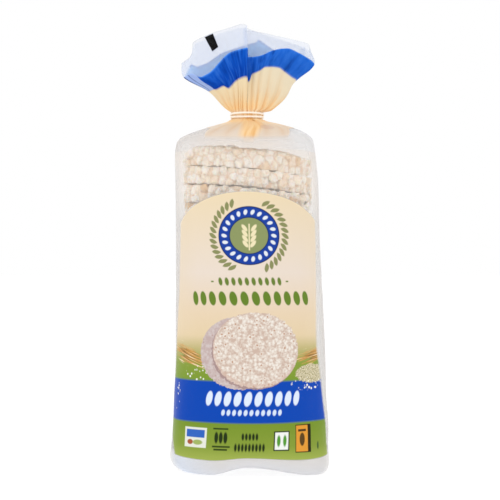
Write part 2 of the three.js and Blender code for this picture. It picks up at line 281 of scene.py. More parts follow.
# distance round the bag, then x, height and depth at the end of the cream, of the blue, and at the mouth
RIBS = [
    (-80, (-28.8, 17.8, 3), (-47, 28.2, 8), (-49, 38.9, 13)),
    (-76, (-27.6, 18, 1), (-43.8, 29.8, 7), (-46.3, 40.8, 11)),
    (-70, (-26.5, 18.3, -2), (-41, 31, 3), (-42.6, 42.9, 8)),
    (-65, (-24.8, 18.4, -5), (-37.2, 28.8, -1), (-40.5, 44.6, 4)),
    (-62, (-22.9, 17.6, -7), (-34.2, 27, -4), (-40.4, 50, 1)),
    (-59, (-20.4, 18.8, -8), (-30.5, 28.6, -6), (-40, 52, -1)),
    (-56, (-17.6, 20.3, -9), (-27.5, 30.1, -7), (-38, 53.3, -3)),
    (-52, (-15.7, 19, -10), (-24.4, 32.9, -8), (-35.6, 54.3, -4)),
    (-48, (-13.8, 18, -10.5), (-22, 35.6, -9), (-32.6, 55.5, -5)),
    (-42, (-11.5, 20.5, -11), (-19.2, 38.6, -10), (-28.2, 57.2, -6.5)),
    (-36, (-9.5, 22.6, -11.5), (-17.3, 40.5, -11), (-23.6, 58.9, -7.5)),
    (-28, (-7.6, 24.1, -12), (-14, 43.2, -12), (-17.3, 60.3, -9)),
    (-20, (-5.8, 25, -12.5), (-10, 44.7, -13), (-11, 62.2, -10)),
    (-10, (-3.5, 25.8, -13), (-5.5, 45.8, -14), (-5.3, 63.8, -11)),
    (-2, (-1.2, 26, -13), (-0.4, 46.9, -14), (-1.4, 63.1, -12)),
    (1.5, (-0.2, 25.2, -12), (-0.2, 44, -12.5), (-0.6, 62, -10.5)),
    (5, (-2.5, 23.5, -9.5), (-3.5, 42, -9), (-4.5, 60.5, -7)),
    (9, (0.8, 22.9, -8.5), (0, 41.1, -7.5), (0, 60, -4.5)),
    (13, (2.3, 28.6, -9), (3, 41.1, -8), (3, 60, -5)),
    (19, (5.5, 29.5, -10), (7, 41.3, -9), (7.5, 59, -5.5)),
    (25, (8.5, 31, -11), (11, 42.4, -10.5), (12.5, 57.9, -7)),
    (32, (11.5, 33, -12), (16, 44.5, -12.5), (18, 56.1, -9)),
    (40, (16.9, 33.3, -12), (23, 46, -13.5), (25.5, 54.2, -11)),
    (47, (22.2, 32.6, -11), (29, 46, -14), (32, 52.4, -12)),
    (54, (27.6, 28.6, -9), (37.2, 42.4, -12), (38.5, 50.9, -12)),
    (58, (31, 26.2, -7.5), (42.6, 39.4, -10), (43.2, 49.4, -11)),
    (61, (33.6, 25.2, -6), (47, 36.6, -8), (43.4, 46.8, -9)),
    (64, (34, 24.5, -4), (46.6, 34.8, -6), (43.2, 45, -6)),
    (70, (31.5, 22.5, -1), (40, 35.5, -3), (41, 47.5, -4)),
    (80, (28, 20.5, 2), (35, 34, 1), (37, 47.5, 0)),
    (90, (30, 25.5, 5), (40, 41, 4), (41, 49, 2)),
    (100, (26, 30, 7), (33.3, 47.5, 5), (35, 50.8, 1)),
    (106, (22.5, 32, 8), (29.5, 48.2, 5), (29.5, 52.5, 1)),
    (114, (16, 33, 8.5), (22.5, 46.9, 5), (22.5, 55, 2)),
    (122, (11, 34, 9), (17.9, 47.7, 5), (15.5, 57, 2)),
    (130, (6.5, 33, 9), (7, 55.4, 4), (8, 59.5, 3)),
    (136, (3.5, 31, 9), (5.4, 53, 4), (3, 61.5, 2)),
    (144, (-1, 29, 9), (0.4, 51.8, 3), (-2, 63.2, 1)),
    (156, (-7, 26.5, 9), (-7, 49.2, 2), (-8, 62.4, 0)),
    (172, (-13, 23.5, 9), (-19, 45.5, 3), (-19.5, 58.8, -1)),
    (188, (-18, 21, 9), (-29.7, 38.3, 5), (-29, 55, 2)),
    (202, (-22.5, 20, 8), (-36.9, 36.2, 8), (-37.6, 52.6, 4)),
    (216, (-25.5, 19, 6.5), (-41.2, 38.3, 10), (-40.2, 49, 9)),
    (228, (-27, 18.3, 5), (-43.5, 36, 11), (-41.6, 43.4, 11.5)),
    (242, (-28.8, 17.8, 3), (-47, 28.2, 8), (-49, 38.9, 13)),
]
print(len(RIBS), "ribs, the highest", max(rib[3][1] for rib in RIBS), "mm above the tie")

# %% Rings of points round the fan
FLARE, FLARE_RIGHT = 2.2, 0.6  # how fast the fan spreads from the neck, and how much more to the right
PUFF, PUFF_HEIGHT = 3.2, 1.8  # just above the tie the film puffs out over its right end


def rib_points(level):
    """Points of all ribs at one level, spread over the points round the bag."""
    round_bag = np.array([rib[0] for rib in RIBS], float)
    points = np.array([rib[level] for rib in RIBS], float)[:, (0, 2, 1)]
    distance = ANGLES / (2 * math.pi) * PERIMETER
    distance = np.where(distance < round_bag[0], distance + PERIMETER, distance)
    ring = np.stack([np.interp(distance, round_bag, points[:, i]) for i in range(3)], axis=1)
    return (np.roll(ring, 1, 0) + 2 * ring + np.roll(ring, -1, 0)) / 4  # eases the corners


NECK_RING = body_ring(len(STATIONS) - 1)[0]
TIE_LIFT = STATIONS[-1][0] - TIE_HEIGHT
FAN_KNOTS = np.array([0, CREAM_ABOVE_TIE, BLUE_ABOVE_TIE, MOUTH_ABOVE_TIE])
FAN_LEVELS = [NECK_RING - (0, 0, TIE_HEIGHT), *(rib_points(level) for level in (1, 2, 3))]
FAN_SLOPES = []
for knot in range(4):
    low, high = max(knot - 1, 0), min(knot + 1, 3)
    rise = FAN_LEVELS[high] - FAN_LEVELS[low]
    FAN_SLOPES.append(rise / (FAN_KNOTS[high] - FAN_KNOTS[low]))
FAN_SLOPES[0][:, 0] *= FLARE + FLARE_RIGHT * np.sin(ANGLES)


def fan_ring(film_length):
    """One ring of the fan at a film length above the neck, and how creased each point is."""
    first = min(np.searchsorted(FAN_KNOTS, film_length, side="right") - 1, 2)
    run = FAN_KNOTS[first + 1] - FAN_KNOTS[first]
    share = (film_length - FAN_KNOTS[first]) / run
    slopes = FAN_SLOPES[first], FAN_SLOPES[first + 1]
    ring = smooth_between(FAN_LEVELS[first], FAN_LEVELS[first + 1], slopes, run, share)
    up = film_length / MOUTH_ABOVE_TIE

    # the gathers fade towards the mouth, and are pulled nearly flat just left of the front's middle
    strength = 0.8 * (1 - up) + 1.1 * math.sin(math.pi * up) * (1 - 0.5 * up)
    pulled = 1 - 0.8 * float(smooth_step(0, 0.4, up)) * np.exp(-(((ANGLES + 0.28) / 0.3) ** 2))
    ring[:, 1] -= strength * pulled * np.cos(ANGLES) * (NECK_LOBES - 0.5 - 0.5 * (1 - up))
    over_tie = film_length / PUFF_HEIGHT * math.exp(1 - film_length / PUFF_HEIGHT)
    ring[:, 0] += PUFF * over_tie * np.maximum(np.sin(ANGLES), 0) ** 2
    crease = (1 - NECK_LOBES) * pulled * (1 - up) ** 1.5
    return ring + (0, 0, TIE_HEIGHT), np.clip(crease, 0, 1)


mouth_wide = float(np.ptp(fan_ring(MOUTH_ABOVE_TIE)[0][:, 0]))
print("the fan is", round(mouth_wide, 1), "mm wide at its mouth")

# %% [markdown]
# ## The film
# The bag is modelled the way it is made. It starts as a plain tube, a cylinder with no ends, whose
# sides are cut into rows. Each row is then moved to where the filled bag holds it. The tube keeps its
# flat layout as a UV map in real millimetres, so the print stays on the film however the film is folded.
# The bottom rows run in to the middle of the underside and are merged there. Last, Solidify gives the
# film a thickness. Real film is 0.04 mm thick, which would flicker, so it is drawn thicker. A cloth
# simulation could gather a tube as well, but its folds would fall elsewhere each time it is changed.

# %% Rows of the tube
FIRST_Z = STATIONS[0][0]
BOTTOM_ROWS, FAN_ROWS = 12, 46
BODY_STEP, SHOULDER_STEP = 4.5, 1.1  # the most film between two rows
SHOULDER_STATION = 12

# each row has its points and creases, its height up the film and the angles of its print
ring_rows = []
for share in np.linspace(0, 1, BOTTOM_ROWS)[:-1]:
    ring_rows.append((bottom_ring(share), -UNDER_FOLD * (1 - share), hanging(FIRST_Z)))
film_height = 0.0
previous = np.array(along_bag(0))[:2]
for station in range(len(STATIONS) - 1):
    span = STATIONS[station + 1][0] - STATIONS[station][0]
    drop = STATIONS[station + 1][1] - STATIONS[station][1]
    longest = BODY_STEP if station < SHOULDER_STATION else SHOULDER_STEP
    steps = max(2, math.ceil(math.hypot(span, drop) / longest))
    for step in range(steps):
        place = station + step / steps
        here = np.array(along_bag(place))[:2]
        film_height += float(np.hypot(*(here - previous)))
        previous = here
        ring_rows.append((body_ring(place), film_height, hanging(here[0])))
NECK_V = film_height + 1.0
TIE_V = NECK_V - TIE_LIFT
fan_rows = FAN_ROWS + (1 - FAN_ROWS - len(ring_rows)) % 4  # the tube's spaces are cut in fours, below
for film_length in np.linspace(0, MOUTH_ABOVE_TIE, fan_rows):
    ring_rows.append((fan_ring(film_length), NECK_V + film_length, ANGLES))
ROW_COUNT = len(ring_rows)
print(ROW_COUNT, "rows, film", round(NECK_V, 1), "mm up to the neck")


# %% Make the tube and cut its rows
def select_edges(obj, test):
    """Selects only the edges of a mesh that pass a test, and leaves it in edit mode."""
    bpy.ops.object.mode_set(mode="EDIT")
    bpy.ops.mesh.select_mode(type="EDGE")
    bpy.ops.mesh.select_all(action="DESELECT")
    bpy.ops.object.mode_set(mode="OBJECT")
    for side in obj.data.edges:
        side.select = bool(test(side))
    bpy.ops.object.mode_set(mode="EDIT")


bpy.ops.mesh.primitive_cylinder_add(vertices=POINTS_ROUND, radius=1, depth=2, end_fill_type="NOTHING")
film = bpy.context.object
film.name = film.data.name = "film_bag"
for cuts in ((ROW_COUNT - 1) // 4 - 1, 3):  # one subdivide takes at most 100 cuts
    heights = [v.co.z for v in film.data.vertices]
    select_edges(film, lambda e: abs(heights[e.vertices[0]] - heights[e.vertices[1]]) > 1e-4)
    bpy.ops.mesh.subdivide(number_cuts=cuts)
    bpy.ops.object.mode_set(mode="OBJECT")
print("the tube has", len(film.data.polygons), "faces")

# %% Lay out the print and shape the bag
SHEET = 400.0  # the UV square is this many millimetres wide
SHEET_LEFT, SHEET_LOW = 200.0, 50.0

tube = np.zeros(len(film.data.vertices) * 3)
film.data.vertices.foreach_get("co", tube)
tube = tube.reshape(-1, 3)
tube_angle = np.arctan2(tube[:, 0], -tube[:, 1])
half_step = math.pi / POINTS_ROUND
column = np.round((tube_angle + math.pi) / (2 * half_step)).astype(int) % POINTS_ROUND
row = np.round((tube[:, 2] + 1) / 2 * (ROW_COUNT - 1)).astype(int)
column_angle = -math.pi + 2 * half_step * column

loop_vertex = np.zeros(len(film.data.loops), int)
film.data.loops.foreach_get("vertex_index", loop_vertex)
face_of_loop = np.repeat(np.arange(len(film.data.polygons)), 4)
face_angle = np.array([math.atan2(f.center.x, -f.center.y) for f in film.data.polygons])
loop_angle = column_angle[loop_vertex]
turn = np.round((face_angle[face_of_loop] - loop_angle) / (2 * math.pi))
print_angle = np.stack([angles for _, _, angles in ring_rows])[row[loop_vertex], column[loop_vertex]]
print_across = (print_angle / (2 * math.pi) + turn) * PERIMETER
print_up = np.array([v for _, v, _ in ring_rows])[row[loop_vertex]]
uv = np.stack([(print_across + SHEET_LEFT) / SHEET, (print_up + SHEET_LOW) / SHEET], axis=1)
film.data.uv_layers.active.data.foreach_set("uv", uv.astype(np.float32).ravel())
ring_table = np.stack([ring for (ring, _), _, _ in ring_rows])
place_points(film.data, ring_table[row, column])
crease_table = np.stack([crease for (_, crease), _, _ in ring_rows])
crease = film.data.attributes.new("crease", "FLOAT", "POINT")
crease.data.foreach_set("value", crease_table[row, column].astype(np.float32))
sheet_size = float(np.ptp(print_across)), float(np.ptp(print_up))
print("the flat tube is cut from a sheet of", [round(size, 1) for size in sheet_size], "mm")

# %% Close the bottom and give the film its thickness
FILM_THICKNESS = 0.18
MERGED = 0.02  # points nearer than this become one
bpy.ops.object.mode_set(mode="EDIT")
bpy.ops.mesh.select_all(action="SELECT")
bpy.ops.mesh.remove_doubles(threshold=MERGED * MM)
bpy.ops.object.mode_set(mode="OBJECT")
bpy.ops.object.shade_smooth()
thicken = film.modifiers.new("film thickness", "SOLIDIFY")
thicken.thickness = FILM_THICKNESS * MM
thicken.offset = -1
thicken.material_offset = 1
thicken.material_offset_rim = 0
print("film bag:", len(film.data.polygons), "faces")

# %% [markdown]
# ## The rice cakes
# A rice cake is brown rice that was wetted, pressed in a hot round mould and let go, so every grain puffs
# up until it meets its neighbours and the walls of the mould. It is built the same way. A puffed grain
# is a cube that is cut up, brought part of the way to a sphere and shaken out of shape, because popped
# rice is lumpy and not round. A few kinds of grain are crowded into a disc by a loose draw, and a voxel
# remesh fuses them into one craggy body. Displace roughens its skin, and the mould's two plates and its
# wall press it back to size. A plain disc with a bump in its finish would do from afar, but here the
# ragged rims and the gaps between them are what shows.
# Two things about each point are kept for the finish: the tone of the grain that it belongs to, as each
# grain toasts on its own, and how near it lies to the crevice between two grains.
# Three cakes are made with a fine skin, for the top of the stack, where the film is clear, and three with a
# coarser one, for the cakes behind the print. The stack holds turned and flipped copies of them.

# %% Kinds of puffed grain
GRAIN = (5.0, 4.0, 3.4)  # half sizes of one puffed grain
puffed_grains = []
for kind in range(4):
    bpy.ops.mesh.primitive_cube_add(size=2)
    grain = bpy.context.object
    grain.name = f"puffed_grain_{kind + 1}"
    bpy.ops.object.mode_set(mode="EDIT")
    bpy.ops.mesh.select_all(action="SELECT")
    bpy.ops.mesh.subdivide(number_cuts=2)
    bpy.ops.transform.tosphere(value=0.6)
    bpy.ops.transform.vertex_random(offset=0.34, uniform=0.7, seed=kind)
    bpy.ops.object.mode_set(mode="OBJECT")
    puffed_grains.append(grain)
GRAIN_REACH = max(v.co.length for v in puffed_grains[0].data.vertices)
print(len(puffed_grains), "kinds of grain, each", len(grain.data.polygons), "faces")

# %% Crowd the grains into a disc
PRESSED = 0.02  # the plates leave each face this far inside half the thickness
RIM_TRIES, FACE_TRIES = 1300, 1300
RIM_APART, FACE_APART = (3.9, 6.6), (4.8, 7.0)  # least and greatest distance kept from a neighbour
RIM_DEPTH, FACE_DEPTH = (1.9, 5.2), (2.0, 3.4)  # how deep under the skin the grains have their middles


def crowd(draw, tries, pick, apart):
    """Draws places until they fill up, and drops each one that falls too near another."""
    kept = np.empty((0, 3))
    for _ in range(tries):
        place = np.array(pick())
        if not len(kept) or np.linalg.norm(kept - place, axis=1).min() > draw.uniform(*apart):
            kept = np.vstack([kept, place])
    return kept


def grain_spots(draw):
    """Places of the grains: crowded round the rim, and in a loose layer on each face."""
    half = CAKE_THICKNESS / 2

    def on_rim():
        angle, radius = draw.uniform(-math.pi, math.pi), CAKE_RADIUS - draw.uniform(*RIM_DEPTH)
        height = draw.uniform(-1, 1) * (half - 0.9)
        return radius * math.cos(angle), radius * math.sin(angle), height

    def on_face(side):
        angle, radius = draw.uniform(-math.pi, math.pi), (CAKE_RADIUS - 6) * draw.uniform() ** 0.5
        height = side * (half - draw.uniform(*FACE_DEPTH))
        return radius * math.cos(angle), radius * math.sin(angle), height

    spots = [crowd(draw, RIM_TRIES, on_rim, RIM_APART)]
    for side in (-1, 1):
        spots.append(crowd(draw, FACE_TRIES, lambda: on_face(side), FACE_APART))
    return np.vstack(spots)


# %% Pack, press and mark a cake
GRAIN_SIZES = (0.72, 1.2)
CORE_INSIDE, CORE_THINNER = 2.7, 1.5
WALL, WALL_GIVES = CAKE_RADIUS - 1.6, 0.7
CREVICE_WIDTH = 1.4


def packed_grains(draw, spots):
    """Grains at their places, and a core that holds them together, as one loose mesh."""
    packed = bmesh.new()
    for index, spot in enumerate(spots):
        grain = puffed_grains[index % len(puffed_grains)].data
        size = draw.uniform(*GRAIN_SIZES) / GRAIN_REACH
        turn = Euler(draw.uniform(-math.pi, math.pi, 3)).to_matrix().to_4x4()
        shape = Matrix.Diagonal((*(size * half * MM for half in GRAIN), 1))
        packed.from_mesh(grain)
        fresh = packed.verts[-len(grain.vertices) :]
        where = Matrix.Translation(Vector(spot) * MM)
        bmesh.ops.transform(packed, matrix=where @ turn @ shape, verts=fresh)
    core = (CAKE_RADIUS - CORE_INSIDE) * MM
    depth = (CAKE_THICKNESS - CORE_THINNER) * MM
    bmesh.ops.create_cone(packed, cap_ends=True, segments=48, radius1=core, radius2=core, depth=depth)
    mesh = bpy.data.meshes.new("packed_grains")
    packed.to_mesh(mesh)
    packed.free()
    return mesh


def press(mesh, places):
    """The mould: plates stop the two faces, and its wall holds back the rim."""
    plate = CAKE_THICKNESS / 2 - PRESSED
    places[:, 2] = np.clip(places[:, 2], -plate, plate)
    reach = np.hypot(places[:, 0], places[:, 1])
    held = np.where(reach > WALL, WALL + WALL_GIVES * (reach - WALL), reach) / np.maximum(reach, 1)
    places[:, :2] *= np.minimum(held, 1)[:, None]
    mesh.vertices.foreach_set("co", (places * MM).astype(np.float32).ravel())


def mark_grains(mesh, places, spots, own_tone):
    """Keeps with each point the tone of the nearest grain, and how near the crevice to the next is."""
    grain_tree = KDTree(len(spots))
    for index, spot in enumerate(spots):
        grain_tree.insert(Vector(spot), index)
    grain_tree.balance()
    tones, crevices = [], []
    for place in places:
        nearest, second = grain_tree.find_n(Vector(place), 2)
        tones.append(own_tone[nearest[1]])
        crevices.append(1 - min((second[2] - nearest[2]) / CREVICE_WIDTH, 1))
    for name, values in (("grain_tone", tones), ("crevice", crevices)):
        kept = mesh.attributes.new(name, "FLOAT", "POINT")
        kept.data.foreach_set("value", np.array(values, np.float32))


# %% Fuse the cakes
POPPED_SIZE, POPPED_DEPTH = 1.7, 1.1
FINE_VOXEL, COARSE_VOXEL = 0.78, 1.25


def fused_cake(seed, voxel):
    """One cake at the origin."""
    draw = np.random.default_rng(seed)
    spots = grain_spots(draw)
    cake = bpy.data.objects.new("packed_grains", packed_grains(draw, spots))
    bpy.context.scene.collection.objects.link(cake)
    bpy.ops.object.select_all(action="DESELECT")
    cake.select_set(True)
    bpy.context.view_layer.objects.active = cake
    cake.data.remesh_voxel_size = voxel * MM
    bpy.ops.object.voxel_remesh()
    bpy.ops.object.shade_smooth()
    popped = bpy.data.textures.new("popped skin", "CLOUDS")
    popped.noise_scale, popped.noise_depth = POPPED_SIZE * MM, 2
    roughen = cake.modifiers.new("popped skin", "DISPLACE")
    roughen.texture, roughen.strength = popped, POPPED_DEPTH * MM
    bpy.ops.object.modifier_apply(modifier=roughen.name)
    places = np.array([v.co for v in cake.data.vertices]) / MM
    press(cake.data, places)
    mark_grains(cake.data, places, spots, draw.beta(1.3, 3.4, len(spots)))
    print("cake", seed, "has", len(spots), "grains and", len(cake.data.polygons), "faces")
    return cake


fine_cakes = [fused_cake(seed, FINE_VOXEL) for seed in (3, 5, 8)]
coarse_cakes = [fused_cake(seed, COARSE_VOXEL) for seed in (13, 21, 34)]
for grain in puffed_grains:
    bpy.data.objects.remove(grain)

# %% [markdown]
# Each cake settles a little under the ones above it, and the top one stays puffed up. The cakes lie
# level at the foot of the stack and tip down to the right higher up, and the stack follows the lean of
# the film. The film is drawn in under it, so the lowest cake is the one that came out smallest. The
# physics solver could drop the cakes into a pile too, but it takes long, and small turns drawn from a
# fixed seed look as settled.

# %% Stack the copies
FINE_COUNT = 4
SETTLED, PUFFED_UP = 0.992, 1.23
TOP_TILT, TILT_GROWS = 5.3, (0.2, 0.85)  # degrees, and the shares of the stack where they build up
FOLLOWS_LEAN = 0.8
# how much darker and warmer the tone of the lower cakes is than that of the top ones
LOWER_CAKES_DARKER = 1.6
LOWEST_WIDE = 0.94
RIM_WORN, SIDES_WORN, KNOBBLY = 1.6, 4.0, 2.4
LEAN_HEIGHTS, LEANS = zip(*((station[0], station[3]) for station in STATIONS[:14]))


def round_upper_rim(mesh, middle):
    """Nothing lies on the top cake, so its upper edge is knobbly and worn down, most at the two sides."""
    places = np.array([v.co for v in mesh.vertices]) / MM - middle
    reach = np.hypot(places[:, 0], places[:, 1])
    tones = np.array([v.value for v in mesh.attributes["grain_tone"].data])
    lowered = RIM_WORN * smooth_step(CAKE_RADIUS - 8, CAKE_RADIUS, reach) + KNOBBLY * tones
    lowered += SIDES_WORN * smooth_step(CAKE_RADIUS - 18, CAKE_RADIUS + 2, np.abs(places[:, 0]))
    places[:, 2] -= lowered * smooth_step(0, CAKE_THICKNESS / 2, places[:, 2])
    mesh.vertices.foreach_set("co", ((places + middle) * MM).astype(np.float32).ravel())


stack_draw = np.random.default_rng(21)
cakes = []
foot = UNDER_STACK
for level in range(CAKE_COUNT):
    puffed = SETTLED if level < CAKE_COUNT - 1 else PUFFED_UP
    middle = foot + puffed * CAKE_THICKNESS / 2
    foot += puffed * CAKE_THICKNESS
    share = level / (CAKE_COUNT - 1)
    tilt = math.radians(TOP_TILT) * np.interp(share, TILT_GROWS, (0, 1))
    lean = np.interp(middle, LEAN_HEIGHTS, LEANS)
    kinds = fine_cakes if level >= CAKE_COUNT - FINE_COUNT else coarse_cakes
    cake = kinds[level % 3].copy()
    cake.data = cake.data.copy()
    cake.name = cake.data.name = f"rice_cake_{level + 1:02d}"
    # the cakes lower in the stack are given a darker, warmer tone than the top ones
    darker_below = np.interp(share, (0.8, 1.0), (LOWER_CAKES_DARKER, 1.0))
    for value in cake.data.attributes["grain_tone"].data:
        value.value *= darker_below
    bpy.context.scene.collection.objects.link(cake)
    flip = math.pi * int(stack_draw.integers(0, 2))
    spin = stack_draw.uniform(-math.pi, math.pi)
    aside = Vector((lean * FOLLOWS_LEAN + stack_draw.uniform(-0.6, 0.6), stack_draw.uniform(-0.5, 0.5)))
    centre = Vector((aside.x + SHIFT_X, aside.y + SHIFT_Y, middle))
    rock = Euler((math.radians(stack_draw.uniform(-0.4, 0.4)), tilt, 0)).to_matrix().to_4x4()
    turned = Matrix.Rotation(spin, 4, "Z") @ Matrix.Rotation(flip, 4, "X")
    wide = LOWEST_WIDE if level == 0 else 1.0
    size = Matrix.Diagonal((wide, wide, puffed, 1))
    cake.data.transform(Matrix.Translation(centre * MM) @ rock @ turned @ size)
    if level == CAKE_COUNT - 1:
        round_upper_rim(cake.data, np.array(centre))
    cakes.append(cake)
for kind in fine_cakes + coarse_cakes:
    bpy.data.objects.remove(kind)
print(len(cakes), "cakes,", sum(len(c.data.polygons) for c in cakes), "faces in all")

# %% [markdown]
# ## Finishes
# One function turns the hex colours of paint charts into the linear numbers that Blender mixes, and one
# adds a node to the material in hand, with its settings and links, so that each finish reads as a list of
# what it is made of. Two more do what a painter does: they let colours follow one another, and lay one
# colour over another.

# %% Helpers for finishes


def linear(hex_colour):
    """A colour as #RRGGBB, turned from sRGB to linear, with full alpha."""
    parts = [int(hex_colour[i : i + 2], 16) / 255 for i in (1, 3, 5)]
    return (*((p / 12.92 if p <= 0.04045 else ((p + 0.055) / 1.055) ** 2.4) for p in parts), 1)


def new_finish(name):
    """An empty material with its node tree and its Principled shader."""
    material = bpy.data.materials.new(name)
    material.use_nodes = True
    return material, material.node_tree, material.node_tree.nodes["Principled BSDF"]


def add_node(kind, *feeds, inputs=None, **settings):
    """Adds a node to the material in hand.

    feeds go to its inputs in order, and inputs holds others by name or number. Each is a plain value,
    a socket, or a node, which stands for its first output.
    """
    node = tree.nodes.new("ShaderNode" + kind)
    for name, value in settings.items():
        setattr(node, name, value)
    for key, value in [*enumerate(feeds), *(inputs or {}).items()]:
        if isinstance(value, bpy.types.Node):
            value = value.outputs[0]
        if isinstance(value, bpy.types.NodeSocket):
            tree.links.new(value, node.inputs[key])
        else:
            node.inputs[key].default_value = value
    return node


def tones_of(value, *stops):
    """Colours that follow one another as value rises."""
    ramp = add_node("ValToRGB", value)
    elements = ramp.color_ramp.elements
    while len(elements) < len(stops):
        elements.new(1.0)
    for element, (position, tint) in zip(elements, stops):
        element.position, element.color = position, linear(tint)
    return ramp.outputs[0]


def lay(ground, share, tint):
    """Lays a colour over another where share is 1."""
    ground, tint = (linear(c) if isinstance(c, str) else c for c in (ground, tint))
    return add_node("Mix", share, inputs={6: ground, 7: tint}, data_type="RGBA").outputs[2]


def count_nodes(stage):
    """Tells how large the material in hand has grown."""
    print(stage, "-", len(tree.nodes), "nodes")


# %% [markdown]
# ### Puffed brown rice
# Puffed starch is matt, almost white and a little translucent. Each grain has its own tone, from chalky
# white to lightly toasted. The crevices between the grains get a darker, warmer tone, partly bran and
# partly painted shade, and bran stays on the grains in flakes of about 3 mm. The skin is pitted by burst
# bubbles of about a millimetre. Scales count to the metre, so 330 gives the flakes, and 700 and 1600
# give the bubbles and the pits between them. They are too small to change an outline, so a bump is enough
# for them, and a finer mesh would only take longer.

# %% Puffed rice finish
puffed_rice, tree, shader = new_finish("puffed brown rice, mould pressed")
place = add_node("TexCoord").outputs["Object"]
tone = add_node("Attribute", attribute_name="grain_tone").outputs["Fac"]
crevice = add_node("Attribute", attribute_name="crevice").outputs["Fac"]
starch = tones_of(
    tone, (0.0, "#FFFAF3"), (0.35, "#FCF0E2"), (0.62, "#F4E1CA"), (0.8, "#E9CDAA"), (1.0, "#DDB688")
)
flakes = add_node("TexNoise", inputs={"Vector": place, "Scale": 330.0, "Detail": 3.0, "Roughness": 0.65})
with_flakes = lay(starch, add_node("MapRange", flakes, 0.56, 0.72, 0.0, 0.6), "#DDBB90")
# the crevices get a darker, warmer tone: partly bran, partly painted shade where they lie in shadow
with_crevice_shade = lay(with_flakes, add_node("MapRange", crevice, 0.25, 1.0, 0.0, 0.64), "#DDB08A")
pits = add_node("TexNoise", inputs={"Vector": place, "Scale": 1600.0})
bubbles = add_node("TexVoronoi", inputs={"Vector": place, "Scale": 700.0})
rough_skin = add_node("Math", pits, bubbles, operation="ADD")
bump = add_node("Bump", inputs={"Strength": 0.5, "Distance": 0.3 * MM, "Height": rough_skin})
tree.links.new(with_crevice_shade, shader.inputs["Base Color"])
tree.links.new(bump.outputs[0], shader.inputs["Normal"])
shader.inputs["Roughness"].default_value = 0.85
shader.inputs["Specular IOR Level"].default_value = 0.2
shader.inputs["Subsurface Weight"].default_value = 0.6
shader.inputs["Subsurface Radius"].default_value = (1.0, 0.8, 0.6)
shader.inputs["Subsurface Scale"].default_value = 2.5 * MM
for cake in cakes:
    cake.data.materials.clear()
    cake.data.materials.append(puffed_rice)
count_nodes("puffed rice")

# %% [markdown]
# ### Printed film
# The film is cast polypropylene: clear, with a faint milky haze and a soft gloss. It is printed in flat
# inks on the outside of the front and of the back, and stays clear at the two sides, in a window
# over the topmost cakes, along the bottom and at the mouth. The UV map holds millimetres, so every
# edge of the print below is a plain distance: across from the middle of a panel, or up the film.
# Marks on the print are ovals, boxes and rows of them, each a small unit shape that is moved, turned
# and stretched to its place. An image could carry the print too, but sums keep every edge sharp from any
# distance and need no file.

# %% Printed film: where things are
film_print, tree, shader = new_finish("cast polypropylene film, printed")
PRINT_SHIFT = 1.0  # the print sits this far to the left of the middle of the tube


def read_sheet():
    """The place on the flat tube in millimetres, and its parts: across from the front's middle, and up."""
    uv_map = add_node("UVMap", uv_map=film.data.uv_layers.active.name)
    scale, corner = (SHEET, SHEET, 0), (-SHEET_LEFT, -SHEET_LOW, 0)
    sheet = add_node("VectorMath", uv_map, scale, corner, operation="MULTIPLY_ADD")
    parts = add_node("SeparateXYZ", sheet)
    return sheet, parts.outputs[0], parts.outputs[1]


def read_panels():
    """How far round the bag from the front's middle, and how far from the middle of the nearer panel."""
    aside = add_node("Math", across, PRINT_SHIFT, operation="ADD")
    round_bag = add_node("Math", aside, operation="ABSOLUTE")
    return round_bag, add_node("Math", round_bag, PERIMETER / 4, operation="PINGPONG")


def edge(value, limit, softness=0.35):
    """1 where value is above limit, with a soft edge as wide as ink spreads."""
    above = add_node("Math", value, limit, operation="SUBTRACT")
    return add_node("MapRange", above, -softness, softness)


def all_of(*shares):
    """1 only where all the shares are 1."""
    result = shares[0]
    for share in shares[1:]:
        result = add_node("Math", result, share, operation="MULTIPLY")
    return result


def on_front():
    """1 on the front and both sides, fading out towards the middle of the back."""
    return add_node("MapRange", add_node("Math", across, operation="ABSOLUTE"), 90.0, 140.0, 1.0, 0.0)


sheet, across, up = read_sheet()
round_bag, from_middle = read_panels()
print("each panel is", PERIMETER / 2, "mm wide")

# %% Printed film: how wide the label is
LABEL_LOW, LABEL_HIGH = 13.4, 195.0
LABEL_DROP, LABEL_DIP = 0.0055, 0.0006  # how fast its upper and its lower edge curve

square = add_node("Math", from_middle, from_middle, operation="MULTIPLY")
left_foot = add_node("MapRange", up, 14.0, 32.0, 60.0, 75.0)
left_waist = add_node("MapRange", up, 55.0, 125.0, 73.0, 61.0)
left_half = add_node("Math", left_foot, left_waist, operation="MINIMUM")
right_foot = add_node("MapRange", up, 18.0, 87.0, 68.5, 55.0)
right_top = add_node("MapRange", up, 100.0, 160.0, 0.0, 4.0)
right_half = add_node("Math", right_foot, right_top, operation="ADD")
on_right = edge(across, 0.0)
wider = add_node("Math", right_half, left_half, operation="SUBTRACT")
panel_half = add_node("Math", on_right, wider, left_half, operation="MULTIPLY_ADD")
label_edge = add_node("Math", square, -LABEL_DROP, LABEL_HIGH, operation="MULTIPLY_ADD")
label_foot = add_node("Math", square, LABEL_DIP, LABEL_LOW - 2.0, operation="MULTIPLY_ADD")
on_label = all_of(edge(up, label_foot), edge(label_edge, up), edge(panel_half, from_middle, 1.8))
print("the label is", round(LABEL_HIGH - LABEL_LOW, 1), "mm high")

# %% Printed film: how wide the print of the shoulder and the fan is
CAP_LOW, CAP_RISE = TIE_V - 47, 0.0018
BACK_CAP_RISE = 16.0  # the print of the back starts higher
RIGHT_WIDER, BLUE_NARROWER = 4.0, 17.5
BLUE_LOW, BLUE_HIGH = NECK_V + CREAM_ABOVE_TIE, NECK_V + BLUE_ABOVE_TIE

